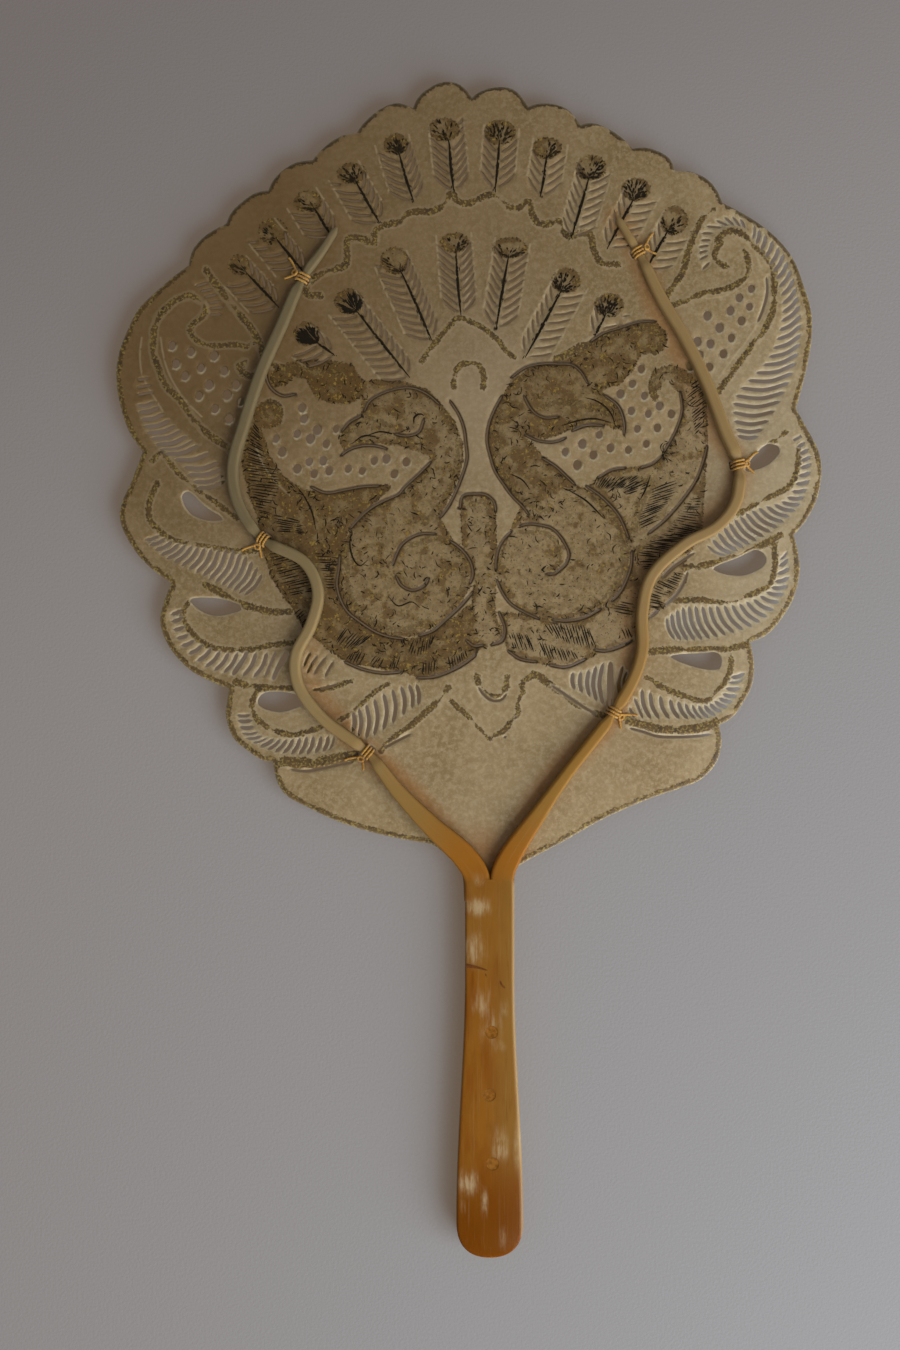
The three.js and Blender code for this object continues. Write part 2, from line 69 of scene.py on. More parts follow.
# The fork of the handle in the part's frame, in millimetres
FORK_MM = (6.6, -66.2)
PICTURE = (900, 1350)
PICTURE_MIDDLE = (450, 675)
# How straight up or down a face looks for it to count as level
FACING = 0.9
# How far from a line or an outline its paint is told, in millimetres
PAINT_REACH = 4
# The height of an even-sided triangle, as a share of its side
TRIANGLE_HEIGHT = 0.866
# A stroke of ink: its line, its half width in millimetres and how faded it is
Stroke = tuple[Array, float, float]


class Side(Enum):
    """A side of the fan, seen from the front."""

    LEFT = -1
    RIGHT = 1


class Half(Enum):
    """A half of the handle."""

    FRONT = 1
    BACK = -1


def parsed(text: str) -> Array:
    """Points written as "x,y x,y", one a row."""
    return np.array([[float(n) for n in pair.split(",")] for pair in text.split()])


def read(text: str) -> Array:
    """Places on the leaf from points written as "x,y x,y" in picture pixels.

    Args:
        text: The points, parted by blanks.

    Returns:
        The points in millimetres in the part's frame, one a row.
    """
    pixels = parsed(text)
    x = (pixels[:, 0] - FORK_PIXEL[0]) * PIXEL_MM + FORK_MM[0]
    y = (FORK_PIXEL[1] - pixels[:, 1]) * PIXEL_MM + FORK_MM[1]
    return np.column_stack([x, y])


def from_fork(points: list[Array] | Array) -> Array:
    """Points measured from the fork in millimetres, moved to the part's frame."""
    return np.array(points, float) + np.array(FORK_MM)


# Slits that draw the two birds: an open line each
BIRD_SLITS = (
    "364,412 370,401 389,391 411,388 427,394 440,405",
    "340,434 350,422 361,416 364,413",
    "341,456 347,451 361,446 376,446 387,449",
    "424,419 419,432 407,436 394,434",
    "450,401 459,415 464,429 466,444 467,459 461,479 454,496 447,509 440,518",
    "431,462 419,474 404,488 399,494 384,501 370,509 359,519 350,529",
    "340,555 339,569 337,584 340,598 347,611 359,621 376,632 390,637 404,639",
    "419,636 433,631 447,619 461,606 473,592",
    "450,541 461,549 470,561 473,574 470,584",
    "436,534 421,534 409,539 401,546 396,556 393,565",
    "396,576 401,585 410,590 419,589 426,584 429,578",
    "511,378 525,368 542,364 558,364 572,365 581,372 588,384",
    "524,396 529,406 536,414 546,418 559,417",
    "604,395 618,406 624,422 624,435",
    "572,431 584,426 596,425 604,426",
    "525,435 539,441 554,442 566,438",
    "502,396 494,411 489,424 487,441 491,459 495,471 504,485 512,496 522,506 529,515",
    "542,458 555,466 566,476 575,485",
    "586,486 598,494 609,504 619,516 626,531 629,539",
    "632,551 631,566 626,581 619,594 612,601",
    "601,609 584,618 566,621 552,620",
    "539,619 524,612 511,604 502,592 497,580",
    "496,570 496,561 499,548 505,538 511,532",
    "520,526 530,524 539,525 551,528 559,535 565,544 569,554 566,564 561,569 554,574 546,574",
    "460,509 463,496 475,494 486,495 494,502 496,512",
    "499,612 505,629 502,641 491,645",
    "466,640 474,646 484,645",
    "345,662 362,669 382,673 401,672",
    "417,678 434,677 451,671 464,664 476,655",
    "508,651 520,659 537,662",
    "549,665 566,667 586,659",
    "594,650 606,651 620,647 632,641",
    "590,342 604,333 620,328 640,322 656,322",
    "311,487 326,493 345,490 362,487 380,486",
    "598,478 612,470 626,468",
    "640,468 652,464 662,456",
    "664,452 676,430 682,410 680,392",
    "707,446 703,462 696,480 684,498 665,520 648,534",
    "268,362 266,374 271,388 283,396 296,394",
)
BIRD_SLIT_WIDTH = 0.45
# Slits along the borders of the lobes and the hanging ornament
BORDER_SLITS = (
    "311,652 307,659 304,667",
    "318,655 312,664 307,674",
    "326,657 319,666 314,675",
    "334,661 329,669 325,677",
    "384,748 397,741 411,734",
    "551,685 566,695 582,706 596,714",
    "503,738 507,736",
    "514,719 517,716",
    "290,769 306,771 333,766 353,762",
    "629,728 644,732 656,736 674,737 697,736 711,734",
    "478,687 484,695 491,700 501,700 507,693",
    "312,690 325,688 338,684",
    "662,578 672,568 684,559.5 695,552.5",
    "688,571 684,582 678,593 670,601 665,606",
    "650,618 654,614 659,610",
    "276,651 265,677",
    "634,698 643,719",
    "629,707 634,718",
    "766,277 767,290 765,302 761,314 757,323",
    "195,286.5 208,282.5",
    "200,291.6 213,289",
    "204,297 217,294.7",
    "208,303 221,301",
    "209,308.5 224,307",
    "209,314.5 222,314.5",
    "706,226.5 722,228",
    "701,233.5 713,233.5",
    "700,240.5 711,240.5",
    "698,247.5 709,245.5",
    "698,253.5 708,250.5",
    "699,260 708,255.5",
    "702,270 710,262",
    "716,220.5 728,226",
    "724,217 734,226",
    "732,216.5 740,227",
    "740,218.5 745,229",
    "137,395 154,392",
    "136.5,387.5 152,385",
    "137,380 150,378",
)
BORDER_SLIT_WIDTH = 0.9
# Raised lines beside the gold ones, painted pale as a highlight
RIDGES = (
    "742,239 750,247 756,256 761,268",
    "757,325 745,343 730,362 718,379",
    "142,338 140.5,352 140.6,362 142.7,375 150.8,391.6 163,411",
    "161,338 163,352 167,368 175,385 188,403 202,417",
    "750,264 749,273 744,283 735,291 722,297 706,299",
    "256,446 264,466 278,484 290,496",
)
# Pierced dots in the fields beside the heads and in the wings
DOTS = (
    "641,369 632,384 620,394 644,396 659,406 631,411 648,414 671,414 637,429 657,428 646,444 599,435 "
    "610,448 582,444 628,450 565,452 593,455 577,465 "
    "302,408 304,419 317,430 336,429 310,439 326,444 297,434 276,439 294,441 282,452 309,462 323,461 "
    "297,469 314,474 329,471 348,469 362,471 374,461 386,459 394,474 379,481 406,462 "
    "172,346 191,352 214,356 176,364 201,368 224,371 185,376 209,385 236,385 199,396 227,395 241,402 "
    "215,409 229,419 751,289 739,298 749,307 730,311 707,316 741,321 719,328 731,338 "
    "710,344 723,354 699,355 709,367 697,342 690,366"
)
DOT_HALF_WIDTH = 1.25
DOT_HALF_HEIGHT = 1.55
# The way towards the light: the lips of the dots are painted paler on this side, a painted highlight
DOT_LIGHT_WAY = (0.35, -0.94)


@dataclass(frozen=True)
class Feather:
    """A tail feather: its eye, the quill under it and how much ink is left on the eye."""

    eye: str
    half_width: float
    half_height: float
    quill: str
    ink: float

    def half_size(self) -> Array:
        """Half of the eye's width and height in millimetres."""
        return np.array([self.half_width, self.half_height]) * PIXEL_MM


FEATHERS = (
    Feather("239,265", 11.5, 10.5, "251,278 279,308", 0.45),
    Feather("273,232", 15, 13.5, "278,241 305,274", 0.4),
    Feather("308,202", 14, 12, "316,211 333,238", 0.55),
    Feather("352,174", 15.5, 11, "357,184 380,224", 0.65),
    Feather("396,145", 13, 11, "400,157 414,203", 0.7),
    Feather("444,130", 16, 12, "449,143 454,193", 0.5),
    Feather("500,133", 16, 13, "499,146 495,191", 0.6),
    Feather("547,148.5", 15, 11, "546,160 540,198", 0.55),
    Feather("591,168", 16, 13, "588,181 571,239", 0.75),
    Feather("636,190", 15, 12, "632,202 607,249", 0.8),
    Feather("674,221", 14, 15, "666,234 646,270", 0.7),
    Feather("307,334", 14, 12, "320,345 335,356", 1.0),
    Feather("349,302", 15, 13, "358,313 410,378", 1.0),
    Feather("395,261", 15, 14, "402,274 432,341", 0.6),
    Feather("455,243", 15, 10, "456,253 461,316", 0.5),
    Feather("510,248", 18, 11, "508,259 496,330", 0.6),
    Feather("566,281", 15, 13, "560,293 525,358", 0.8),
    Feather("609,306", 15, 12.5, "604,318 594,338", 0.75),
)

# Worn gold lines on a brown ground, with their half width in millimetres
GOLD_LINES = (
    (1.1, "321,296 306,294 308,284 319,276 337,269 346,266 347,252 349,238 361,239 374,244 376,231 383,226 "
          "401,222 408,214 419,212 433,212 444,204 451,194 458,202 468,204 480,199 491,195 499,199 508,208 "
          "518,209 528,202 532,214 539,225 549,224 559,222 566,236 574,236 589,234 594,252 602,264 618,265"),
    (0.9, "421,362 433,346 447,329 459,318 469,322 483,328 498,341 509,354 516,358"),
    (1.0, "454,388 454,376 460,366 469,363 479,366 484,376 483,388"),
    (1.1, "191,295 176,301 166,309 156,322 154,336 154,354 159,369 166,386 181,401 191,416 205,432 224,445 "
          "236,455"),
    (0.9, "191,295 204,305 205,315 196,322 190,330 196,340 214,346 234,345 248,347"),
    (1.1, "206,270 212,279 222,292 234,308 245,321 255,334 262,351 264,364 255,376 244,374 239,366 245,361"),
    (1.1, "752,244 761,252 767,258 773,268 774,279 774,294 773,309 767,325 759,336 746,354 731,374 "
          "718,392"),
    (1.0, "717,240 727,232 736,232 744,236 752,244"),
    (1.0, "721,243 716,250 714,258 719,264 726,267"),
    (1.1, "714,209 704,218 696,231 690,246 686,259 683,272 671,289 664,300"),
    (1.0, "668,306 684,302 703,294 720,291 734,286 746,276 748,262 743,250"),
    (1.0, "158,483 151,498 149,509 151,521 158,529 166,536 176,541 191,545 208,547 226,550 241,552 256,551"),
    (0.9, "152,462 162,452 170,462 179,474 190,484 206,495 222,507 238,519"),
    (1.0, "189,602 183,614 186,624 194,635 205,644 219,649 234,650 249,650 269,646 296,642"),
    (1.2, "205,585 214,589 224,595 234,602 248,606 271,612 290,612"),
    (1.0, "259,688 254,697 252,708 256,718 266,726 280,732 294,735 309,731 328,725"),
    (1.2, "236,682 250,686 266,688 284,689 298,689"),
    (1.9, "284,762 300,763 318,763 336,759 354,756"),
    (1.0, "797,440 798,455 797,469 793,481 786,489 774,495 760,502 749,508 738,515"),
    (0.9, "786,432 776,440 768,446"),
    (1.0, "774,545 775,560 774,572 769,585 760,591 749,595 737,601 717,602 699,600 674,601"),
    (1.2, "684,568 700,566 724,561 749,552 766,543 780,535"),
    (1.0, "731,660 729,674 724,684 717,692 706,701 689,698 673,692 660,686 646,678"),
    (1.2, "650,652 668,650 690,650 712,650 730,648 744,645"),
    (1.5, "628,720 644,725 660,729 680,730 700,728 716,722"),
    (1.1, "449,686 439,701 426,712 411,726 396,736 381,751"),
    (0.9, "450,699 459,709 469,716 480,729 489,739 496,735 506,729 511,721 518,714 518,702 524,692 521,685 "
          "532,676"),
    (1.2, "532,674 539,676 545,681 555,689 572,701 589,711 604,716"),
    (1.1, "477,676 480,688 488,696 498,696 505,689 507,677"),
    (0.8, "339,720 351,714 361,705 376,691 389,684"),
    (0.9, "322,690 340,685 352,680"),
)
# Worn gold inside the birds and their crests, flat on the hide
BODY_GOLD = (
    (1.1, "446,412 458,440 456,470 444,500 424,524"),
    (1.1, "345,545 347,575 352,600 368,618 396,630 424,624"),
    (0.9, "370,512 392,500 412,484 430,468"),
    (1.0, "410,545 440,540 460,556 464,580 450,606"),
    (1.0, "500,410 496,440 504,474 524,502 548,512"),
    (1.1, "590,496 612,516 622,540 620,572 604,600 574,612"),
    (0.9, "520,532 550,536 560,556 546,580"),
    (1.4, "604,486 632,480 650,486 640,506 634,530"),
    (0.9, "520,380 548,372 572,372"),
    (1.4, "556,360 580,348 612,336 650,328 664,340 654,352"),
    (1.3, "655,398 652,384 660,372 676,372 690,384"),
    (1.2, "274,366 290,370 318,368 342,374"),
    (1.1, "268,418 262,408 270,402 280,408 280,420"),
    (1.2, "545,406 566,402 590,408 610,414"),
    (1.0, "345,436 356,426 372,420 392,428"),
    (1.0, "470,506 484,502 490,514"),
)


@dataclass(frozen=True)
class Wash:
    """An area washed with brown: its strength, its closed outline and the ink marks a square centimetre on it."""

    strength: float
    outline: str
    marks: float = 0


WASHES = (
    Wash(0.65, "362,380 380,380 405,382 428,390 442,404 454,420 463,442 464,460 455,490 440,516 452,540 470,560 "
         "473,580 462,604 440,626 410,638 380,634 352,618 338,596 338,560 350,530 372,508 400,494 425,470 "
         "432,458 400,446 372,444 345,452 338,440 345,424 362,412 361,396", 13),
    Wash(1.1, "252,422 262,430 270,455 285,478 305,490 335,494 360,486 395,484 372,506 350,528 338,560 337,596 "
         "350,618 380,634 410,640 440,628 470,604 484,612 484,640 476,656 450,672 418,678 400,672 350,664 "
         "325,648 305,630 290,606 272,580 262,548 258,520 247,490 242,460", 12),
    Wash(0.92, "500,400 512,380 530,368 560,362 580,352 600,338 630,326 655,322 668,334 664,352 642,354 632,372 "
         "618,386 602,388 606,398 618,408 624,432 604,426 572,430 545,440 525,436 545,458 575,484 566,506 "
         "540,524 528,516 510,494 494,468 487,440 490,420", 15),
    Wash(0.38, "588,486 600,476 625,468 655,464 668,450 680,425 682,396 664,378 660,392 648,388 652,370 672,364 "
         "692,374 706,400 708,440 704,500 702,530 682,570 688,580 672,600 650,620 634,644 600,652 585,662 "
         "548,666 520,660 506,650 500,612 522,614 552,622 582,620 614,602 630,578 632,548 622,520 604,498", 8),
    Wash(0.5, "460,512 463,497 475,494 488,496 496,512 497,560 495,610 504,640 490,648 466,646 470,610 474,580 "
         "462,545", 19),
    Wash(0.5, "522,504 545,478 560,472 575,484 600,496 622,520 631,548 628,578 612,602 580,618 552,620 522,612 "
         "502,592 496,565 508,534", 8),
    Wash(0.9, "256,426 252,412 262,402 276,402 284,412 282,424 270,430"),
    Wash(1.3, "282,364 300,360 330,360 352,364 362,380 361,396 352,404 330,404 314,396 306,380 296,376 286,386 "
         "272,388 270,374", 16),
    Wash(0.6, "590,484 600,475 622,473 642,474 653,484 650,494 643,512 637,528 630,512 614,498"),
)

# Hatching in ink: strokes from points of one line to points of the other, a gap in millimetres apart
HATCH_GAP = 1.0
HATCHES = (
    ("253,421 248,439 244,455 245,475 252,498 259,517", "260,431 264,448 271,464 281,475 277,498 270,521"),
    ("271,514 278,533", "301,521 308,535"),
    ("268,547 271,565 280,583 291,597", "288,546 301,558 312,576 317,592"),
    ("314,553 321,572 326,590", "330,553 337,572 338,590"),
    ("294,615 303,627", "301,608 313,620"),
    ("335,642 339,647 344,649 350,648 358,647", "345,626 352,630 358,633 366,635 375,634"),
    ("344,661 349,663 354,664 360,666", "350,654 356,651 362,650 368,652"),
    ("369,664 374,669 379,670", "376,655 381,656 386,658"),
    ("388,670 393,670 397,669", "393,656 398,654 402,656"),
    ("407,652 412,655 418,656 424,654 428,650 432,643", "413,640 418,638 424,637 429,636 433,634 437,635"),
    ("423,672 427,675 432,673 438,671", "423,663 427,660 432,660 439,662"),
    ("448,656 454,656 460,653 466,648", "450,669 456,667 463,661 469,657"),
    ("594,485 599,489 607,489 614,489 621,490 624,494 625,497",
     "597,475 605,475.5 616,476 628,476 639,475.5 649,484 650,489"),
    ("650,490 648,496 644,505 640,515 637,524 639,531", "678,479 678,486 675,494 669,503 664,508 660,521"),
    ("690,499 684,506 680,512 672,520 664,531 656,538 642,547 638,552 638,559 640,566 643,571",
     "702,497 702,504 700,510 701,520 701,530 690,535 680,541 676,545 662,556 655,563 648,570"),
    ("676,572 664,579 656,582 652,588 650,593 648,600 647.5,606 651,608",
     "684,573.5 682,580 680,585 676,590 670,594 665,600 664,606 658,609"),
    ("684,390 688,405 692,420 693,438", "700,378 704,392 706,408 705,426"),
    ("620,601 615,605 612,609 610,613", "635,604 635,608 635,613 635,617"),
    ("543,623 553,623 563,623.5 573,624 583,625 590,630", "553,637 564,642 574,646 583,648 591,649 597,645"),
    ("620,628 625,627 629,628", "625,640 630,638 633,637"),
    ("507.5,633 511,632 516,632 522,632.5 528,634", "513,648 519,650 524,651 530,652 536,653"),
    ("538,641 545,642 552,645 560,647 568,649 575,652", "546,658 553,661 561,662 568,662 574,661 580,659"),
)

# Plain lines in ink, with their half width in millimetres
INK_LINES = (
    (0.3, "585,398 596,401 606,408 612,416 615,427"),
    (0.3, "561,426 578,421 594,419 611,423"),
    (0.3, "566,489 586,501 604,519"),
    (0.35, "414,424 414,418 420,414 424,416"),
    (0.25, "362,438 380,432 396,434 410,428"),
    (0.25, "352,444 364,436 380,438"),
    (0.3, "298,488 304,496 312,512 316,530"),
    (0.3, "352,530 350,545 354,560 360,566 368,560"),
    (0.25, "388,596 398,606 412,602 420,608"),
    (0.25, "510,474 522,480 530,490"),
    (0.3, "640,500 646,488 650,476"),
    (0.35, "426,586 424,580 428,577"),
    (0.4, "546,574 542,570 546,566"),
)
# Blots where the ink has pooled
BLOTS = (
    "537,628 543,626 546,634 545,642 539,640",
    "373,645 380,641 388,643 387,653 378,656 372,652",
    "431,655 437,651 443,656 440,663 433,663",
    "389,638 398,637 407,639 405,645 393,645",
    "610,490 616,487 621,491 619,499 611,499",
    "287,483 294,482 296,492 289,494",
    "296,500 303,499 305,509 298,511",
    "332,520 345,517 350,527 336,531",
    "316,538 326,536 337,556 338,572 328,570",
    "588,384 596,382 600,388 592,391",
    "509,425 516,423 522,428 514,433",
    "662,446 670,440 676,450 668,462 660,458",
)
BLOT_MARKS = 75.0
# Areas where the ink has run into short marks, with marks for each square centimetre
SCRIBBLES = (
    *((wash.marks, wash.outline) for wash in WASHES if wash.marks),
    *((BLOT_MARKS, text) for text in BLOTS),
)


def srgb(hex_colour: str) -> tuple[float, float, float, float]:
    """A written sRGB colour in linear light.

    Args:
        hex_colour: The colour as "#rrggbb".

    Returns:
        Red, green, blue and alpha.
    """
    shares = [int(hex_colour[k : k + 2], 16) / 255 for k in (1, 3, 5)]
    linear = [s / 12.92 if s <= 0.04045 else ((s + 0.055) / 1.055) ** 2.4 for s in shares]
    return (*linear, 1.0)


def add_node(
    tree: NodeTree, kind: str, inputs: dict | None = None, **settings: object
) -> Node:
    """Adds a node with its settings, and sets or links its inputs.

    Args:
        tree: The node tree.
        kind: The node's type name.
        inputs: Socket name or number to a value, or to the output socket that feeds it.
        settings: The node's own properties.

    Returns:
        The node.
    """
    made = tree.nodes.new(kind)
    for name, value in settings.items():
        setattr(made, name, value)
    for name, value in (inputs or {}).items():
        if isinstance(value, NodeSocket):
            tree.links.new(value, made.inputs[name])
        else:
            made.inputs[name].default_value = value
    return made


class Step(Enum):
    """A step of a finish: its node, the node's settings, the sockets that feed it and the one that it gives."""

    ADD = ("ShaderNodeMath", {"operation": "ADD"}, (0, 1), 0)
    SUBTRACT = ("ShaderNodeMath", {"operation": "SUBTRACT"}, (0, 1), 0)
    MULTIPLY = ("ShaderNodeMath", {"operation": "MULTIPLY"}, (0, 1), 0)
    MULTIPLY_ADD = ("ShaderNodeMath", {"operation": "MULTIPLY_ADD"}, (0, 1, 2), 0)
    MAXIMUM = ("ShaderNodeMath", {"operation": "MAXIMUM"}, (0, 1), 0)
    # A smooth rise from 0 to 1 as a value goes from a low to a high one
    RAMP = (
        "ShaderNodeMapRange",
        {"interpolation_type": "SMOOTHSTEP"},
        ("Value", "From Min", "From Max"),
        "Result",
    )
    # A colour under another one, by the share of the upper one
    LAYER = ("ShaderNodeMix", {"data_type": "RGBA"}, (6, 7, 0), 2)


ADD, SUBTRACT, MULTIPLY, MULTIPLY_ADD, MAXIMUM, RAMP, LAYER = Step
# How strongly the finer marks of a pattern show
GRAIN_ROUGHNESS = 0.6
# What feeds a socket: a number, a colour as "#rrggbb", the name of an attribute, or another socket
Feed = float | tuple | str | NodeSocket


@dataclass
class Palette:
    """A finish under construction: its material, its node tree and the coordinates of its patterns."""

    name: str
    tree: NodeTree = field(init=False)
    material: Material = field(init=False)
    place: NodeSocket = field(init=False)

    def __post_init__(self) -> None:
        """Starts an empty node material with object coordinates."""
        self.material = bpy.data.materials.new(self.name)
        self.material.use_nodes = True
        self.tree = self.material.node_tree
        self.tree.nodes.clear()
        self.place = add_node(self.tree, "ShaderNodeTexCoord").outputs["Object"]

    def feed(self, value: Feed) -> Feed:
        """Turns a written colour or the name of an attribute into what a socket takes.

        Args:
            value: A number, a written colour, a name or a socket.

        Returns:
            The linear colour, the attribute's socket, or the value itself.
        """
        if not isinstance(value, str):
            return value
        if value.startswith("#"):
            return srgb(value)
        return add_node(self.tree, "ShaderNodeAttribute", attribute_name=value).outputs["Fac"]

    def add(self, step: Step, *values: Feed) -> NodeSocket:
        """Adds one step of the finish.

        Args:
            step: The step.
            values: What feeds its sockets, in their order.

        Returns:
            The socket with its result.
        """
        kind, settings, sockets, result = step.value
        return add_node(self.tree, kind, dict(zip(sockets, map(self.feed, values))), **settings).outputs[result]

    def glaze(self, under: Feed, over: Feed, pattern: Feed, strength: float) -> NodeSocket:
        """One colour laid over another where a pattern shows, as strongly as is said."""
        return self.add(LAYER, under, over, self.add(MULTIPLY, pattern, strength))

    def grain(
        self, size_mm: float, detail: float, stretch: tuple = (1, 1, 1), where: NodeSocket | None = None
    ) -> NodeSocket:
        """A cloudy pattern from 0 to 1.

        Args:
            size_mm: The size of its marks.
            detail: How many finer patterns lie on it.
            stretch: How much longer the marks are each way.
            where: Its coordinates, if they aren't the object's.

        Returns:
            The pattern's socket.
        """
        scale = [1000 / size_mm / s for s in stretch]
        mapped = add_node(self.tree, "ShaderNodeMapping", {"Vector": where or self.place, "Scale": scale})
        inputs = {"Vector": mapped.outputs["Vector"], "Scale": 1.0, "Detail": detail, "Roughness": GRAIN_ROUGHNESS}
        return add_node(self.tree, "ShaderNodeTexNoise", inputs).outputs["Fac"]

    def finish(
        self, inputs: dict, height: NodeSocket | None = None, depth_mm: float = 0.1
    ) -> Material:
        """Closes the material with one principled shader.

        Args:
            inputs: The shader's sockets.
            height: A pattern from 0 to 1 that raises the surface, if any.
            depth_mm: How high that pattern stands.

        Returns:
            The material.
        """
        if height is not None:
            bump = {"Height": height, "Distance": depth_mm / 1000, "Strength": 1.0}
            inputs = {**inputs, "Normal": add_node(self.tree, "ShaderNodeBump", bump).outputs["Normal"]}
        shader = add_node(self.tree, "ShaderNodeBsdfPrincipled", inputs)
        add_node(self.tree, "ShaderNodeOutputMaterial", {"Surface": shader.outputs["BSDF"]})
        return self.material


@dataclass(frozen=True)
class Rawhide:
    """Scraped, sun-dried rawhide, inked and gilt by hand: cloudy beige with pale cut edges."""

    pale: str = "#bda988"
    middle: str = "#a38d68"
    dark: str = "#907b54"
    # The colour of the painted shade towards the top and the left
    aged: str = "#6b5128"
    wash: str = "#664f28"
    film: str = "#a08a5e"
    patch: str = "#5f4517"
    leaf_gold: str = "#a98f3f"
    brown: str = "#35260f"
    olive: str = "#5a431d"
    # The pale of the cut edges, also laid on as a painted highlight beside cuts, gold lines and ridges
    gold: str = "#a08c46"
    lip: str = "#d4c6a6"
    # The amber of the painted glow and shadow where the arms lie behind the hide
    amber: str = "#a36c2c"
    # The colour of the paler hide on the right and in the middle
    bleached: str = "#c6b69b"

    def material(self) -> Material:
        """The hide, with the paint, the painted shade and the painted highlights that its attributes place on it.

        Returns:
            The material.
        """
        p = Palette("rawhide")
        clouds = p.add(RAMP, p.grain(14, 4), 0.3, 0.7)
        flecks = p.add(RAMP, p.grain(1.7, 4), 0.4, 0.68)
        base = p.add(LAYER, self.dark, self.middle, clouds)
        base = p.glaze(base, self.pale, flecks, 0.5)
        base = p.glaze(base, self.pale, p.add(RAMP, p.grain(0.8, 3), 0.5, 0.7), 0.5)
        # Painted shade: the hide is darkened towards the top and the left, where the light falls off
        base = p.glaze(base, self.aged, "aged", 0.85)
        # Paler hide on the right below the crest, and in a patch in the middle
        base = p.glaze(base, self.bleached, "bleached", 0.4)
        # Painted glow and shadow: amber along the arms, for the back arms seen through the translucent hide and
        # the front arms' shadow, and round the fork
        base = p.glaze(base, self.amber, "behind", 0.6)
        worn, grit, mottle = p.grain(5, 5), p.grain(0.75, 4), p.grain(2.2, 4)
        # The wash: a mottled grey brown film, stained golden brown in patches that gather along its edges
        frayed = p.add(ADD, "wash", p.add(MULTIPLY_ADD, worn, 1.4, -0.7))
        frayed = p.add(ADD, frayed, p.add(MULTIPLY_ADD, grit, 1.6, -0.8))
        washed = p.add(RAMP, frayed, -0.2, 0.3)
        light = p.add(MULTIPLY, p.add(RAMP, mottle, 0.38, 0.62), p.add(MULTIPLY_ADD, "stain", -0.5, 1.0))
        film = p.add(LAYER, self.wash, self.film, light)
        base = p.add(LAYER, base, film, p.add(MULTIPLY, washed, p.add(MULTIPLY_ADD, "stain", 0.7, 0.08)))
        shore = p.add(RAMP, "wash", 2.8, 0.2)
        heap = p.add(ADD, worn, p.add(MULTIPLY_ADD, shore, 0.17, p.add(MULTIPLY, "stain", 0.16)))
        patches = p.add(MULTIPLY, p.add(RAMP, heap, 0.6, 0.7), washed)
        base = p.glaze(base, self.patch, patches, 0.7)
        specks = p.add(MULTIPLY, p.add(RAMP, p.grain(1.0, 3), 0.58, 0.64), patches)
        base = p.glaze(base, self.leaf_gold, specks, 0.7)
        soot = p.add(ADD, grit, p.add(MULTIPLY, p.add(RAMP, "wash", 1.3, 0.1), 0.08))
        inked = p.add(MULTIPLY, p.add(RAMP, soot, 0.6, 0.645), washed)
        base = p.glaze(base, self.brown, inked, 0.8)
        # Worn gold on brown, along the rim and the drawn lines
        rubbed = p.add(RAMP, p.grain(6, 3), 0.5, 0.7)
        ragged = p.add(SUBTRACT, p.add(MULTIPLY_ADD, grit, 2.2, -1.1), rubbed)
        scuffed = p.add(SUBTRACT, ragged, p.add(MULTIPLY, "crest", rubbed))
        rimmed = p.add(RAMP, p.add(ADD, "rim", scuffed), -0.1, 0.2)
        gilded = p.add(RAMP, p.add(ADD, "gold", ragged), -0.1, 0.15)
        grains = p.add(RAMP, p.grain(0.8, 3), 0.52, 0.6)
        line = p.glaze(self.olive, self.brown, p.add(RAMP, mottle, 0.5, 0.6), 0.85)
        line = p.glaze(line, self.gold, grains, 0.75)
        # Painted highlight: a pale fringe just outside the gold lines on bare hide, as if their raised edges
        # caught the light
        welt_highlight = p.add(RAMP, p.add(MULTIPLY_ADD, ragged, 0.4, "gold"), -0.9, -0.3)
        bare = p.add(SUBTRACT, 1.0, washed)
        base = p.glaze(base, self.lip, p.add(MULTIPLY, welt_highlight, bare), 0.12)
        base = p.add(LAYER, base, line, p.add(MULTIPLY, gilded, p.add(MULTIPLY_ADD, bare, 0.4, 0.5)))
        border = p.glaze(line, self.brown, "crest", 0.85)
        base = p.glaze(base, border, rimmed, 0.85)
        # Painted highlight: the raised ridges, among them the arcs beside the dots, are painted pale
        base = p.glaze(base, self.lip, p.add(RAMP, "ridge", -0.2, 0.3), 0.22)
        # Lips beside the cuts: pale ones, partly the pale edge where the knife went through and partly a painted
        # highlight, and dark ones, partly soot where the wash ran in and partly a painted shade
        cut = p.add(RAMP, "lip", 0.75, 0.2)
        base = p.add(LAYER, base, self.lip, p.add(MULTIPLY, cut, p.add(MAXIMUM, "paleness", 0.0)))
        soot_and_shade = p.add(MAXIMUM, p.add(MULTIPLY, washed, 0.7), p.add(MULTIPLY, "paleness", -1.0))
        base = p.add(LAYER, base, self.brown, p.add(MULTIPLY, cut, soot_and_shade))
        rough = p.add(MULTIPLY_ADD, grains, 0.2, 0.42)
        paint = p.add(MAXIMUM, rimmed, gilded)
        relief = p.add(MULTIPLY_ADD, paint, 0.35, p.add(MULTIPLY, flecks, 0.3))
        return p.finish(
            {
                "Base Color": base,
                "Roughness": rough,
                "IOR": 1.5,
                "Specular IOR Level": 0.35,
                "Subsurface Weight": 0.85,
                "Subsurface Radius": (1.0, 0.9, 0.75),
                "Subsurface Scale": 0.005,
            },
            relief,
            0.1,
        )


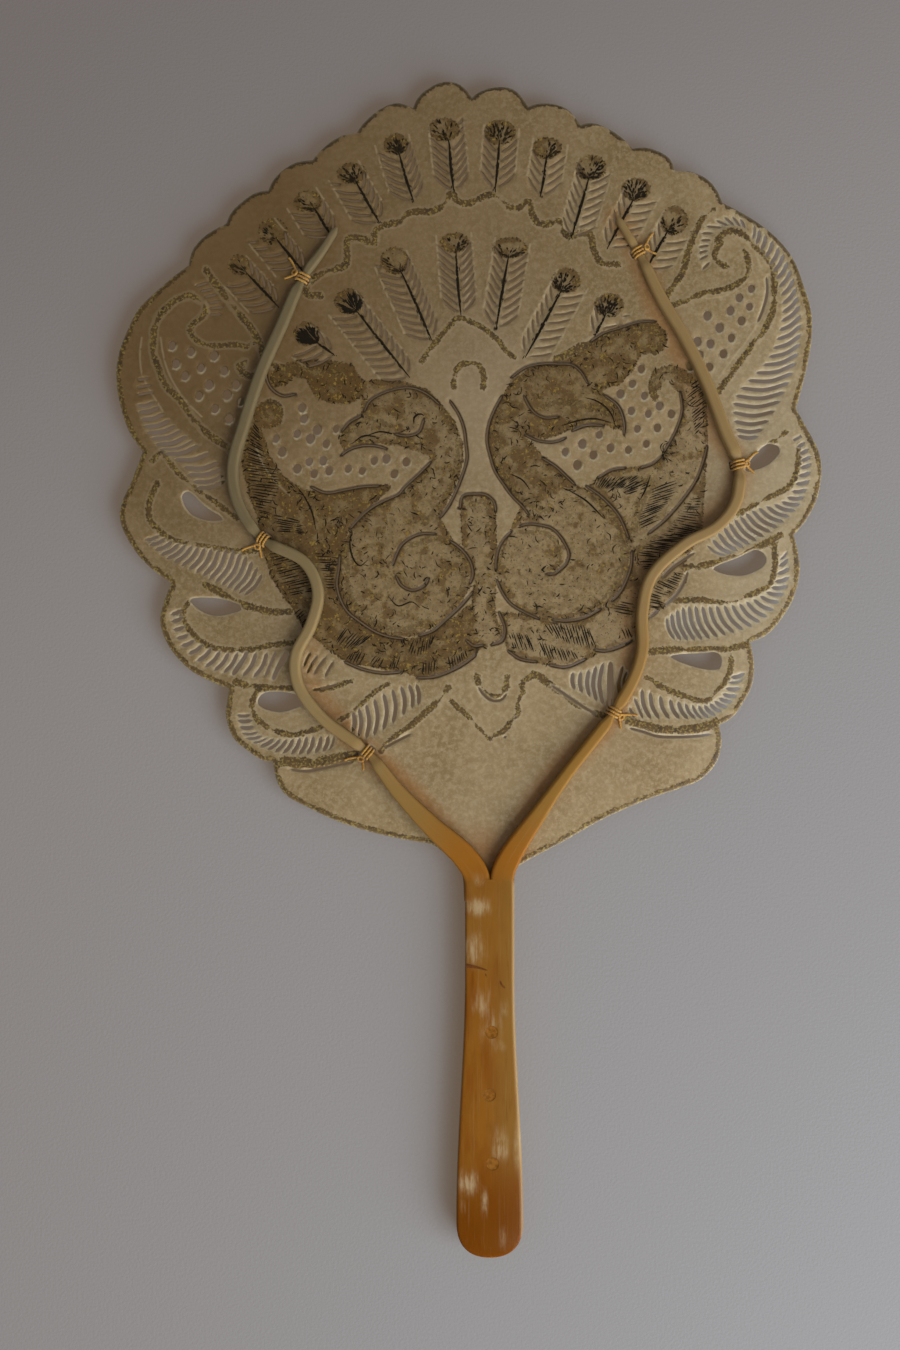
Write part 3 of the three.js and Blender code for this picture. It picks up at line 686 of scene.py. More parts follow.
@dataclass(frozen=True)
class Ink:
    """Lampblack ink, brushed on thin and partly rubbed off: matt brown black."""

    name: str = "lampblack_ink"
    black: str = "#191309"
    faded: str = "#54431f"

    def material(self) -> Material:
        """The ink, faded stroke by stroke.

        Returns:
            The material.
        """
        p = Palette(self.name)
        worn = p.add(ADD, "fade", p.add(MULTIPLY_ADD, p.grain(0.8, 3), 0.8, -0.4))
        base = p.add(LAYER, self.black, self.faded, p.add(RAMP, worn, 0.0, 1.0))
        return p.finish({"Base Color": base, "Roughness": 0.7, "Specular IOR Level": 0.15})


@dataclass(frozen=True)
class HideEdge(Ink):
    """The stained end of the hide, seen through polished horn: dark red brown."""

    name: str = "stained_hide_edge"
    black: str = "#4a2308"
    faded: str = "#7a4714"


@dataclass(frozen=True)
class Horn:
    """Buffalo horn, sawn, bent by heat and polished: amber, streaked along its fibres, cloudy, glossy."""

    straw: str = "#766b50"
    flax: str = "#95825b"
    light: str = "#957e55"
    amber: str = "#97621f"
    honey: str = "#926f35"
    hazel: str = "#8a5a1c"
    oil: str = "#87662f"
    brown: str = "#7f4b12"
    deep: str = "#6a3902"
    # Whitish horn, for its clouds and fibres, and for the painted highlight on the grip's right edge
    cloud: str = "#bfae8a"

    def material(self) -> Material:
        """The horn: streaks follow the run of each arm.

        Returns:
            The material.
        """
        p = Palette("polished_horn")
        runs = add_node(
            p.tree,
            "ShaderNodeCombineXYZ",
            {"X": p.feed("across"), "Y": p.feed("run"), "Z": p.feed("height")},
        ).outputs["Vector"]
        streaks = p.grain(1.1, 4, (1, 11, 2), runs)
        bands = p.grain(9, 3, (1, 3, 1), runs)
        fibres = p.grain(0.5, 2, (1, 40, 1), runs)
        grip = p.add(LAYER, self.hazel, self.brown, p.add(RAMP, bands, 0.4, 0.62))
        grip = p.glaze(grip, self.oil, "honey", 0.9)
        grip = p.glaze(grip, self.deep, p.add(RAMP, streaks, 0.52, 0.75), 0.3)
        grip = p.glaze(grip, self.deep, "dusk", 0.85)
        wisps = p.add(MULTIPLY, p.grain(1.6, 3, (1, 3, 2), runs), 2.0)
        tufts = p.add(MULTIPLY_ADD, streaks, 2.6, wisps)
        tufts = p.add(MULTIPLY, "cloud", p.add(ADD, tufts, -1.3))
        grip = p.glaze(grip, self.cloud, p.add(RAMP, tufts, 0.15, 1.2), 0.62)
        # Painted highlight: a pale band along the right edge of the grip's face, the side towards the light
        grip = p.glaze(grip, self.cloud, "edge", 0.4)
        arms = p.add(LAYER, self.amber, self.honey, p.add(RAMP, "tip", 0.04, 0.16))
        dried = p.add(LAYER, self.flax, self.straw, p.add(RAMP, "tip", 0.35, 0.65))
        ends = p.add(LAYER, self.light, dried, "greyed")
        farther = p.add(MULTIPLY_ADD, "greyed", 0.14, "tip")
        arms = p.add(LAYER, arms, ends, p.add(RAMP, farther, 0.2, 0.5))
        arms = p.glaze(arms, self.brown, p.add(RAMP, streaks, 0.52, 0.8), 0.15)
        base = p.add(LAYER, grip, arms, p.add(RAMP, "tip", 0.0, 0.06))
        base = p.glaze(base, self.cloud, p.add(RAMP, fibres, 0.55, 0.8), 0.08)
        rough = p.add(MULTIPLY_ADD, streaks, 0.1, 0.15)
        return p.finish(
            {
                "Base Color": base,
                "Roughness": rough,
                "IOR": 1.54,
                "Specular IOR Level": 0.06,
                "Subsurface Weight": 0.3,
                "Subsurface Radius": (1.0, 0.6, 0.3),
                "Subsurface Scale": 0.006,
            },
            fibres,
            0.02,
        )


@dataclass(frozen=True)
class PegHorn:
    """The end of a horn peg, cut across its fibres: dull amber with dark specks."""

    pale: str = "#8c5d22"
    dark: str = "#744812"

    def material(self) -> Material:
        """The peg's horn, in spots where its fibres end.

        Returns:
            The material.
        """
        p = Palette("horn_end_grain")
        base = p.add(LAYER, self.dark, self.pale, p.add(RAMP, p.grain(1.1, 3), 0.35, 0.65))
        return p.finish({"Base Color": base, "Roughness": 0.45, "Specular IOR Level": 0.06}, p.grain(0.4, 2), 0.03)


@dataclass(frozen=True)
class Thread:
    """Two-ply cotton thread, dyed golden yellow: matt, fuzzy, with paler fibres."""

    gold: str = "#bd8d30"
    pale: str = "#d6b565"
    rust: str = "#98621b"

    def material(self) -> Material:
        """The thread, with its fibres along the ply.

        Returns:
            The material.
        """
        p = Palette("golden_thread")
        fibres = p.grain(0.25, 3)
        base = p.add(LAYER, self.rust, self.gold, p.add(RAMP, p.grain(1.2, 3), 0.3, 0.55))
        base = p.glaze(base, self.pale, p.add(RAMP, fibres, 0.5, 0.75), 0.5)
        return p.finish({"Base Color": base, "Roughness": 0.75, "Sheen Weight": 0.3}, fibres, 0.04)


@dataclass(frozen=True)
class Cloth:
    """The plain pale surface that the fan lies on."""

    pale: str = "#77828e"
    shade: str = "#6f7a86"
    # The colour of the painted shade towards the top left
    dusk: str = "#546577"
    glow: str = "#5e4b36"

    def material(self) -> Material:
        """A plain pale ground with a fine nap and a painted shade towards the top left, a little of it shown as
        plain background to the eye.

        Returns:
            The material.
        """
        p = Palette("plain_ground")
        nap = p.grain(0.9, 2)
        base = p.add(LAYER, self.pale, self.shade, nap)
        # Painted shade: the ground grows darker and bluer towards the top left, where the light falls off
        spot = add_node(p.tree, "ShaderNodeSeparateXYZ", {"Vector": p.place}).outputs
        slope = p.add(MULTIPLY_ADD, spot["X"], -0.5, spot["Y"])
        base = p.add(LAYER, base, self.dusk, p.add(RAMP, slope, 0.04, 0.3))
        rays = add_node(p.tree, "ShaderNodeLightPath").outputs
        seen = p.add(MAXIMUM, rays["Is Camera Ray"], rays["Is Glossy Ray"])
        seen = p.add(MAXIMUM, seen, rays["Is Transmission Ray"])
        return p.finish(
            {
                "Base Color": base,
                "Roughness": 0.9,
                "Emission Color": srgb(self.glow),
                "Emission Strength": seen,
            },
            nap,
            0.12,
        )


def smooth_step(value: Array, low: float, high: float) -> Array:
    """Smooth rise from 0 to 1 between two values."""
    t = np.clip((value - low) / (high - low), 0, 1)
    return t * t * (3 - 2 * t)


# How many short lines a smooth line is first drawn with, between two of its given points
CURVE_PARTS = 12


def curve_through(points: Array, step: float, closed: bool = False) -> Array:
    """A smooth line through points, with its own points evenly spaced.

    Args:
        points: The points to pass, one a row.
        step: The wanted distance between the line's points.
        closed: Whether the line comes back to its start.

    Returns:
        The line's points. A closed line doesn't repeat its first one.
    """
    if closed:
        p = np.vstack([points[-1], points, points[0], points[1]])
    else:
        p = np.vstack([2 * points[0] - points[1], points, 2 * points[-1] - points[-2]])
    fine = []
    share = np.linspace(0, 1, CURVE_PARTS, endpoint=False)[:, None]
    for a, b, c, d in zip(p, p[1:], p[2:], p[3:]):
        ab, bc, cd = (max(np.linalg.norm(v - u) ** 0.5, 1e-4) for u, v in ((a, b), (b, c), (c, d)))
        out = ((b - a) / ab - (c - a) / (ab + bc) + (c - b) / bc) * bc
        back = ((c - b) / bc - (d - b) / (bc + cd) + (d - c) / cd) * bc
        t2, t3 = share**2, share**3
        straight = b * (2 * t3 - 3 * t2 + 1) + c * (3 * t2 - 2 * t3)
        fine.append(straight + out * (t3 - 2 * t2 + share) + back * (t3 - t2))
    last = points[:1] if closed else points[-1:]
    line = np.vstack([*fine, last])
    runs = run_along(line)
    count = max(3 if closed else 2, round(runs[-1] / step) + 1)
    wanted = np.linspace(0, runs[-1], count + (1 if closed else 0))
    made = np.column_stack([np.interp(wanted, runs, line[:, k]) for k in range(line.shape[1])])
    return made[:-1] if closed else made


def run_along(line: Array) -> Array:
    """How far along a line each of its points lies."""
    return np.concatenate([[0], np.cumsum(np.linalg.norm(np.diff(line, axis=0), axis=1))])


def closed_up(loop: Array) -> Array:
    """A closed outline with its first point repeated at its end."""
    return np.vstack([loop, loop[:1]])


def normals(line: Array) -> Array:
    """The way to the left of a flat line.

    Args:
        line: The line's points.

    Returns:
        A unit vector for each point.
    """
    along = np.gradient(line, axis=0)
    along /= np.maximum(np.linalg.norm(along, axis=1), 1e-9)[:, None]
    return np.column_stack([-along[:, 1], along[:, 0]])


def line_distance(points: Array, line: Array) -> Array:
    """How far points lie from a flat line.

    Args:
        points: The points, one a row.
        line: The line's points.

    Returns:
        A distance for each point.
    """
    best = np.full(len(points), np.inf)
    for a, b in zip(line, line[1:]):
        d = b - a
        t = np.clip(((points - a) @ d) / max(d @ d, 1e-12), 0, 1)
        best = np.minimum(best, np.linalg.norm(points - a - t[:, None] * d, axis=1))
    return best


def inside(points: Array, loop: Array) -> Array:
    """Which points lie in a closed outline.

    Args:
        points: The points, one a row.
        loop: The outline.

    Returns:
        True or false for each point.
    """
    result = np.zeros(len(points), bool)
    near = np.all((points >= loop.min(0)) & (points <= loop.max(0)), axis=1)
    x, y = points[near, 0], points[near, 1]
    odd = np.zeros(len(x), bool)
    for (ax, ay), (bx, by) in zip(loop, np.roll(loop, -1, axis=0)):
        if ay != by:
            odd ^= ((ay > y) != (by > y)) & (x < (bx - ax) * (y - ay) / (by - ay) + ax)
    result[near] = odd
    return result


def near_box(points: Array, line: Array) -> Array:
    """Which points lie in the box round a line, or so close to it that paint on the line can reach them."""
    return np.all((points > line.min(0) - PAINT_REACH) & (points < line.max(0) + PAINT_REACH), axis=1)


def slit_outline(line: Array, width: float, blunt: float) -> Array:
    """The closed outline of a slit with rounded ends.

    Args:
        line: The middle of the slit.
        width: How wide it is in its middle.
        blunt: How wide it still is at its ends, as a share of that.

    Returns:
        The outline's points.
    """
    runs = run_along(line)
    ends = np.minimum(runs, runs[-1] - runs) / (0.5 * width)
    half = 0.5 * width * np.sqrt(np.clip(ends, 0, 1) * (2 - np.clip(ends, 0, 1)))
    half = half * (blunt + (1 - blunt) * np.sin(np.pi * runs / runs[-1]) ** 0.5)
    side = normals(line)[1:-1] * half[1:-1, None]
    return np.vstack([line[:1], line[1:-1] - side, line[-1:], (line[1:-1] + side)[::-1]])


def new_object(name: str, verts: list, faces: list, material: Material) -> Object:
    """A mesh object at the origin.

    Args:
        name: Its name.
        verts: Its points in metres.
        faces: Its faces, as lists of point numbers.
        material: Its finish.

    Returns:
        The object.
    """
    mesh = bpy.data.meshes.new(name)
    mesh.from_pydata(verts, [], faces)
    mesh.materials.append(material)
    made = bpy.data.objects.new(name, mesh)
    bpy.context.scene.collection.objects.link(made)
    return made


def only(piece: Object) -> None:
    """Selects one object alone and makes it active.

    Args:
        piece: The object.
    """
    bpy.ops.object.select_all(action="DESELECT")
    piece.select_set(True)
    bpy.context.view_layer.objects.active = piece


# How far a stroke of ink stands above the surface at its edges, and above and below it in its middle
INK_EDGE, INK_BODY = 0.015, 0.06


def add_stroke(verts: list, faces: list, line: Array, side: Array, heights: Array) -> None:
    """Adds one closed stroke of ink with a flat lens section to a mesh under construction.

    Args:
        verts: The mesh's points so far, in metres.
        faces: Its faces so far.
        line: The middle of the stroke in millimetres.
        side: From the middle to the stroke's left edge, at each point.
        heights: The surface under its left edge, middle and right edge, at each point.
    """
    first = len(verts)
    for p, s, (left, middle, right) in zip(line, side, heights):
        top, bottom = (p, middle + INK_BODY), (p, middle - INK_BODY)
        ring = ((p + s, left + INK_EDGE), top, (p - s, right + INK_EDGE), bottom)
        verts.extend((q[0] / 1000, q[1] / 1000, z / 1000) for q, z in ring)
    last = first + 4 * (len(line) - 1)
    for ring in range(first, last, 4):
        for k in range(4):
            n = (k + 1) % 4
            faces.append([ring + k, ring + n, ring + 4 + n, ring + 4 + k])
    faces.append([first + 3, first + 2, first + 1, first])
    faces.append([last, last + 1, last + 2, last + 3])


def carry(piece: Object, slot: str, *nodes: str) -> None:
    """Rides a finished piece on the fan, in place of its CAD nodes.

    Args:
        piece: The piece.
        slot: Not used.
        nodes: The CAD nodes that it stands for.
    """
    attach(piece, ROOT)
    if nodes:
        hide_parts(*nodes)
    LOG.info("%s: %d faces", piece.name, len(piece.data.polygons))


def set_attribute(mesh: Mesh, name: str, values: Array) -> None:
    """Stores a number at each point of a mesh."""
    made = mesh.attributes.new(name, "FLOAT", "POINT")
    made.data.foreach_set("value", np.asarray(values, np.float32))


class ArmLine:
    """The line of one arm of the handle, in millimetres in the part's frame."""

    TIES = {
        Side.LEFT: "-38.9,39 -72.2,106.9 -59.7,190.4",
        Side.RIGHT: "39.5,51.8 79.2,130.6 47.5,198.7",
    }
    ROUTES = {
        (Half.FRONT, Side.LEFT): (
            "-3.9,-8 -4.3,0 -8.4,6.4 -18.8,15.9 -29.6,27.2",
            "-53.6,50.4 -61,60.8 -61.6,69.8 -56.8,79.7 -54.6,90.2 -58.7,99.4",
            "-79.8,117.8 -81.8,129.3 -78.2,143.7 -72.8,160.3 -66.1,175.7",
            "-53.9,198.4 -48.8,206.4",
        ),
        (Half.FRONT, Side.RIGHT): (
            "3.9,-8 4.0,0 6.8,6.6 15.5,19.5 24.5,32.3",
            "45.9,63 48.5,71.7 48.5,83.8 51.4,95 62.2,105.3 72.5,111 78.2,118.7",
            "75,140.8 69,156.8 62.2,170.9 54.2,184.6",
            "44.6,203.2 40.8,209.6",
        ),
        (Half.BACK, Side.LEFT): (
            "-3.9,-8 -4.6,0 -8,6.8 -16.8,16.6 -27.7,28.5",
            "-51.4,52.2 -58.1,62.1 -58.7,69.8 -54.9,79 -52.6,89.6 -57.5,99.8",
            "-81.5,116.6 -84.3,128.6 -80.5,143.7 -74.4,160.3 -66.7,175.7",
            "-53.9,198.4 -48.8,206.4",
        ),
        (Half.BACK, Side.RIGHT): (
            "3.9,-8 4.4,0 6.5,6.6 13,20.2 22.4,33.4",
            "43.8,63.4 45.6,72.3 45.6,84.5 48.8,97 60.3,107.8 69.3,113 77,119.7",
            "73.5,140.2 66.4,155.5 59.7,169.9 52.6,184",
            "44.6,203.2 40.8,209.6",
        ),
    }
    STEP = 1.5
    # How far below the fork each line starts
    LEAD = 8

    def __init__(self, half: Half, side: Side) -> None:
        """Joins the stretches of the arm at its ties.

        Args:
            half: The half of the handle that the arm belongs to.
            side: The side of the fan that it runs on.
        """
        stretches = self.ROUTES[half, side]
        ties = parsed(self.TIES[side])
        points = [p for k, part in enumerate(stretches) for p in (*parsed(part), *ties[k : k + 1])]
        self.half, self.side = half, side
        self.line = curve_through(from_fork(points), self.STEP)
        self.runs = run_along(self.line)
        self.length = self.runs[-1]
        self.left = normals(self.line)
        self.ties = [self.runs[np.argmin(np.linalg.norm(self.line - t, axis=1))] for t in from_fork(ties)]


@dataclass
class HornHandle:
    """The handle: two halves of horn, each a grip that forks into two arms. Sizes in millimetres."""

    horn: Material
    line: Material
    grip_length: float = 121
    neck_width: float = 15.6
    end_width: float = 21.2
    flare_top: float = -33
    end_round: float = 11.5
    end_fullness: float = 0.82
    end_depth: float = 3.9
    end_turn: float = 1.5
    end_rings: int = 18
    grip_rings: int = 100
    root_drop: float = 0.02
    half_depth: float = 4.9
    halves_gap: float = 0.1
    # The step that takes the hide: its height, its lower end, and a box in metres wider than the arms
    slot: float = 1.1
    slot_bottom: float = -33.5
    slot_rise: float = 150
    slot_box: tuple = (0.4, 0.3)
    fork_sink: float = 1
    root_width: tuple = (8.4, 7.8)
    root_run: tuple = (62, 50)
    arm_width: float = 3.6
    tip_width: float = 2.3
    tip_depth: float = 2.4
    tip_run: float = 30
    tip_blunt: float = 0.15
    tip_round: float = 1.6
    tip_thin: tuple = (0.7, 0.3)
    waist_width: float = 2.4
    waist_sink: float = 1.1
    waist_reach: float = 1.98
    waist_ramp: float = 2.2
    peg_radius: float = 2.0
    pegs: tuple = ((0.5, 71.7), (-0.2, 51.9), (0.8, 30.1))
    peg_sides: int = 40
    peg_clear: float = 0.03
    peg_sink: float = 0.1
    peg_dish: float = 0.1
    peg_insets: tuple = (0.25, 0.5)
    bore_depth: float = 20
    chamfer: float = 0.12
    crease: float = math.radians(40)
    peg_crease: float = math.radians(50)
    # Whitish clouds in the front of the grip: middle, half width and half height in pixels, strength
    clouds: tuple = (
        ("478,904", 14, 10, 1.0),
        ("474,946", 13, 18, 0.75),
        ("478,876", 7, 9, 0.6),
        ("482,1001", 13, 18, 0.62),
        ("504,1005", 6, 12, 0.5),
        ("490,1022", 18, 26, 0.45),
        ("499,1042", 8, 9, 0.5),
        ("500,1140", 10, 19, 0.75),
        ("468,1177", 11, 14, 0.95),
        ("463,1200", 3, 12, 0.6),
        ("484,1196", 4, 15, 0.85),
        ("517,1140", 5, 34, 0.6),
        ("503,1232", 6, 16, 0.45),
        ("480,925", 18, 44, 0.18),
    )
    # The end of the hide inside the grip, seen through the horn: half widths at both ends, and a line
    hide_ends: tuple = (
        (0.6, 0.2, "466,962.5 471,963 479,964.5 487,967"),
        (0.28, 0.22, "485,970 486,973"),
        (0.3, 0.3, "499.5,977 501,981 504.5,984.5"),
    )
    hide_end_step: float = 0.5
    hide_end_point: float = 0.4
    hide_end_sink: float = 0.02
    hide_end_fade: float = 0.5
    corner_points: int = 6
    face_points: int = 34
    crown: float = 0.03
    grip_corner: float = 0.8
    arm_corner: float = 0.9
    # Where the horn changes colour, from the fork: stretches along the grip, across it and through it
    arm_overlap: float = 2
    fibre_spread: float = 5
    darker_run: tuple = (-112, -80)
    oil_lean: float = 0.42
    oil_above: float = 0.3
    oil_start: tuple = (-32.5, -31)
    oil_beside: float = 0.8
    oil_side: tuple = (-3, 7)
    flare_run: tuple = (-110, -33)
    # The painted highlight on the right edge of the grip: its band in from the edge, its end below the fork, and
    # the height of the face that it lies on
    highlight_band: tuple = (-1.2, -0.4)
    highlight_end: tuple = (-4, 0)
    highlight_level: tuple = (7, 9)

    def ring(
        self, centre: Array, left: Array, half: float, depth: float, corner: float, half_of: Half
    ) -> Array:
        """One cross section: flat at the hide, with rounded outer corners and a slightly crowned face.

        Args:
            centre: Its place on the line that it follows.
            left: The direction across that line.
            half: Half of its width.
            depth: How far it stands out from the middle of the hide.
            corner: The radius of its outer corners.
            half_of: The half of the handle that it belongs to.

        Returns:
            Its points, one a row.
        """
        corner = min(corner, 0.8 * half, 0.6 * depth)
        turn = np.linspace(0, np.pi / 2, self.corner_points)
        flat = np.linspace(1, -1, self.face_points)[1:-1] * (half - corner)
        low = self.halves_gap / 2
        right = np.column_stack([half - corner + corner * np.cos(turn), depth - corner + corner * np.sin(turn)])
        crown = self.crown * half * (1 - (flat / half) ** 2)
        right[:, 1] += self.crown * half * (1 - (right[:, 0] / half) ** 2)
        face = np.column_stack([flat, depth + crown])
        outside = np.vstack([[[half, low]], right, face, (right * (-1, 1))[::-1], [[-half, low]]])
        outside[:, 1] -= self.crown * half
        outside[[0, -1], 1] = low
        spots = centre[None, :] + np.outer(outside[:, 0], left)
        return np.column_stack([spots, self.half_depth + half_of.value * outside[:, 1]])

    def loft(self, name: str, rings: list) -> Object:
        """A closed solid through cross sections.

        Args:
            name: Its name.
            rings: The cross sections, each with the same number of points.

        Returns:
            The solid.
        """
        count = len(rings[0])
        verts = np.vstack(rings) / 1000
        faces = [list(range(count)), list(range((len(rings) - 1) * count, len(rings) * count))]
        for r in range(len(rings) - 1):
            for k in range(count):
                a, b = r * count + k, r * count + (k + 1) % count
                faces.append([a, b, b + count, a + count])
        made = new_object(name, verts.tolist(), faces, self.horn)
        only(made)
        bpy.ops.object.mode_set(mode="EDIT")
        bpy.ops.mesh.select_all(action="SELECT")
        bpy.ops.mesh.normals_make_consistent(inside=False)
        bpy.ops.object.mode_set(mode="OBJECT")
        return made

    def grip(self, half_of: Half) -> Object:
        """The grip of one half, flared to its rounded end.

        Args:
            half_of: The half of the handle.

        Returns:
            The grip as a closed solid.
        """
        start = -self.grip_length + self.end_round
        ends = []
        for a in np.linspace(self.end_turn, 0, self.end_rings):
            rise = 1 - (math.sin(a) / math.sin(self.end_turn)) ** self.end_fullness
            ends.append((-self.grip_length + self.end_round * rise, math.cos(a) ** self.end_fullness))
        body = [(y, 1.0) for y in np.linspace(start, -self.fork_sink, self.grip_rings)[1:]]
        rings = []
        for y, share in ends + body:
            rise = float(smooth_step(np.array(y), start, self.flare_top))
            width = self.end_width + (self.neck_width - self.end_width) * rise
            depth = self.end_depth + (self.half_depth - self.end_depth) * share
            centre, across = np.array(FORK_MM) + (0, y), np.array([1.0, 0.0])
            rings.append(self.ring(centre, across, share * width / 2, depth, self.grip_corner, half_of))
        return self.loft("grip", rings)

    def hide_end(self) -> None:
        """Draws the dark line where the hide ends inside the grip."""
        verts, faces = [], []
        for first, last, text in self.hide_ends:
            line = curve_through(read(text), self.hide_end_step)
            taper = np.linspace(first, last, len(line))
            taper[[0, -1]] *= self.hide_end_point
            height = np.full((len(line), 3), 2 * self.half_depth - self.hide_end_sink)
            add_stroke(verts, faces, line, normals(line) * taper[:, None], height)
        piece = new_object("hide_end_line", verts, faces, self.line)
        set_attribute(piece.data, "fade", np.full(len(verts), self.hide_end_fade))
        carry(piece, "horn")

    def peg_spot(self, number: int) -> Vector:
        """The middle of a peg in metres, counted from the neck."""
        x, from_end = self.pegs[number]
        return Vector((FORK_MM[0] + x, FORK_MM[1] + from_end - self.grip_length, self.half_depth)) / 1000

    def peg(self, number: int, name: str, horn: Material) -> None:
        """One peg: a round pin whose ends lie a little below the face and are dished by the file.

        Args:
            number: Which peg, counted from the neck.
            name: Its CAD node.
            horn: Its finish.
        """
        bpy.ops.object.select_all(action="DESELECT")
        bpy.ops.mesh.primitive_cylinder_add(
            vertices=self.peg_sides,
            radius=(self.peg_radius - self.peg_clear) / 1000,
            depth=2 * (self.half_depth - self.peg_sink) / 1000,
            location=self.peg_spot(number),
        )
        piece = bpy.context.object
        piece.name = piece.data.name = f"horn_{name}"
        bpy.ops.object.transform_apply(location=True, rotation=True, scale=True)
        bpy.ops.object.mode_set(mode="EDIT")
        bpy.ops.mesh.select_mode(type="FACE")
        bpy.ops.mesh.select_all(action="DESELECT")
        bpy.ops.object.mode_set(mode="OBJECT")
        for face in piece.data.polygons:
            face.select = abs(face.normal.z) > FACING
        bpy.ops.object.mode_set(mode="EDIT")
        for share in self.peg_insets:
            bpy.ops.mesh.inset(
                thickness=share * self.peg_radius / 1000, depth=-self.peg_dish / 2000, use_individual=True
            )
        bpy.ops.object.mode_set(mode="OBJECT")
        piece.data.materials.append(horn)
        bpy.ops.object.shade_smooth_by_angle(angle=self.peg_crease)
        carry(piece, "peg_horn", name)

    def arm(self, line: ArmLine) -> Object:
        """One arm: wide at its root, waisted at each tie, thin at its tip.

        Args:
            line: The line that it follows.

        Returns:
            The arm as a closed solid.
        """
        k = 0 if line.side is Side.LEFT else 1
        s = line.runs
        root = self.root_width[k]
        width = root + (self.arm_width - root) * smooth_step(s, 0, self.root_run[k])
        width += (self.tip_width - width) * smooth_step(s, line.length - self.tip_run, line.length)
        depth = self.half_depth + (self.tip_depth - self.half_depth) * np.clip(
            (s - line.ties[1]) / (line.length - line.ties[1]), 0, 1
        )
        far = self.waist_reach + self.waist_ramp
        waist = np.max([1 - smooth_step(np.abs(s - t), self.waist_reach, far) for t in line.ties], axis=0)
        width += (np.minimum(self.waist_width, width) - width) * waist
        depth = depth - self.waist_sink * waist
        ends = np.minimum(1, np.sqrt(np.clip((line.length - s + self.tip_blunt) / self.tip_round, 0, 1)))
        thin, rest = self.tip_thin
        rings = [
            self.ring(p, -n, w / 2 * e, (d - self.root_drop) * (thin + rest * e), self.arm_corner, line.half)
            for p, n, w, d, e in zip(line.line, line.left, width, depth, ends)
        ]
        return self.loft("arm", rings)

    def cut(self, piece: Object, other: Object, operation: str) -> None:
        """Joins another solid to a piece or takes it away, and drops it.

        Args:
            piece: The piece.
            other: The other solid.
            operation: UNION or DIFFERENCE.
        """
        only(piece)
        step = piece.modifiers.new("cut", "BOOLEAN")
        step.operation, step.object, step.solver = operation, other, "EXACT"
        bpy.ops.object.modifier_apply(modifier=step.name)
        bpy.data.objects.remove(other)

    def half(self, half: Half, lines: list[ArmLine]) -> None:
        """One half of the handle, with the step for the hide and the holes for the pegs.

        Args:
            half: Which half.
            lines: The lines of its arms.
        """
        piece = self.grip(half)
        piece.name = piece.data.name = f"horn_{half.name.lower()}_half"
        for line in lines:
            self.cut(piece, self.arm(line), "UNION")
        fork = Vector((FORK_MM[0], FORK_MM[1], self.half_depth)) / 1000
        middle = fork + Vector((0, (self.slot_bottom + self.slot_rise) / 1000, 0))
        bpy.ops.mesh.primitive_cube_add(size=1, location=middle)
        step = bpy.context.object
        step.scale = (*self.slot_box, self.slot / 1000)
        self.cut(piece, step, "DIFFERENCE")
        for number in range(len(self.pegs)):
            self.bore(piece, half, self.peg_spot(number))
        only(piece)
        bpy.ops.object.shade_smooth_by_angle(angle=self.crease)
        self.streak(piece, lines)
        carry(piece, "horn", f"handle_{half.name.lower()}")

    def bore(self, piece: Object, half: Half, spot: Vector) -> None:
        """Cuts one chamfered hole for a peg.

        Args:
            piece: The half of the handle to cut.
            half: Which half it is.
            spot: The middle of the peg in metres.
        """
        bpy.ops.mesh.primitive_cylinder_add(
            vertices=self.peg_sides, radius=self.peg_radius / 1000, depth=self.bore_depth / 1000, location=spot
        )
        self.cut(piece, bpy.context.object, "DIFFERENCE")
        wide = (self.peg_radius + 2 * self.chamfer) / 1000
        front = half is Half.FRONT
        height = half.value * (self.half_depth / 1000 + self.chamfer / 1000 - wide / 2)
        bpy.ops.mesh.primitive_cone_add(
            vertices=self.peg_sides,
            radius1=0 if front else wide,
            radius2=wide if front else 0,
            depth=wide,
            location=spot + Vector((0, 0, height)),
        )
        self.cut(piece, bpy.context.object, "DIFFERENCE")

    def streak(self, piece: Object, lines: list[ArmLine]) -> None:
        """Gives the horn its run of fibres, its pale arms, its clouds and a painted highlight along the right edge
        of the grip.

        Args:
            piece: The half of the handle.
            lines: The lines of its arms.
        """
        co = np.array([v.co for v in piece.data.vertices]) * 1000
        run, across, tip = co[:, 1] - FORK_MM[1], co[:, 0] - FORK_MM[0], np.zeros(len(co))
        greyed = np.zeros(len(co))
        best = np.full(len(co), np.inf)
        for line in lines:
            gap = np.linalg.norm(co[:, None, :2] - line.line[None], axis=2)
            at = gap.argmin(1)
            nearest = gap[np.arange(len(co)), at]
            mine = (nearest < best) & (co[:, 1] > FORK_MM[1] - self.arm_overlap)
            best = np.where(mine, nearest, best)
            offset = ((co[:, :2] - line.line[at]) * line.left[at]).sum(1)
            run = np.where(mine, line.runs[at] - line.LEAD, run)
            across = np.where(mine, -offset + self.fibre_spread * line.side.value, across)
            tip = np.where(mine, line.runs[at] / line.length, tip)
            greyed = np.where(mine, float(line.side is Side.LEFT), greyed)
        cloud = np.zeros(len(co))
        for spot, half_width, half_height, strength in self.clouds:
            middle = read(spot)[0]
            reach = np.array([half_width, half_height]) * PIXEL_MM
            away = (((co[:, :2] - middle) / reach) ** 2).sum(1)
            cloud = np.maximum(cloud, strength * np.exp(-away))
        y = co[:, 1] - FORK_MM[1]
        end = 1 - smooth_step(y, *self.darker_run)
        slope = y + self.oil_lean * (co[:, 0] - FORK_MM[0])
        beside = self.oil_beside * smooth_step(across, *self.oil_side) * (1 - end)
        side = 0.5 * (self.end_width + (self.neck_width - self.end_width) * smooth_step(y, *self.flare_run))
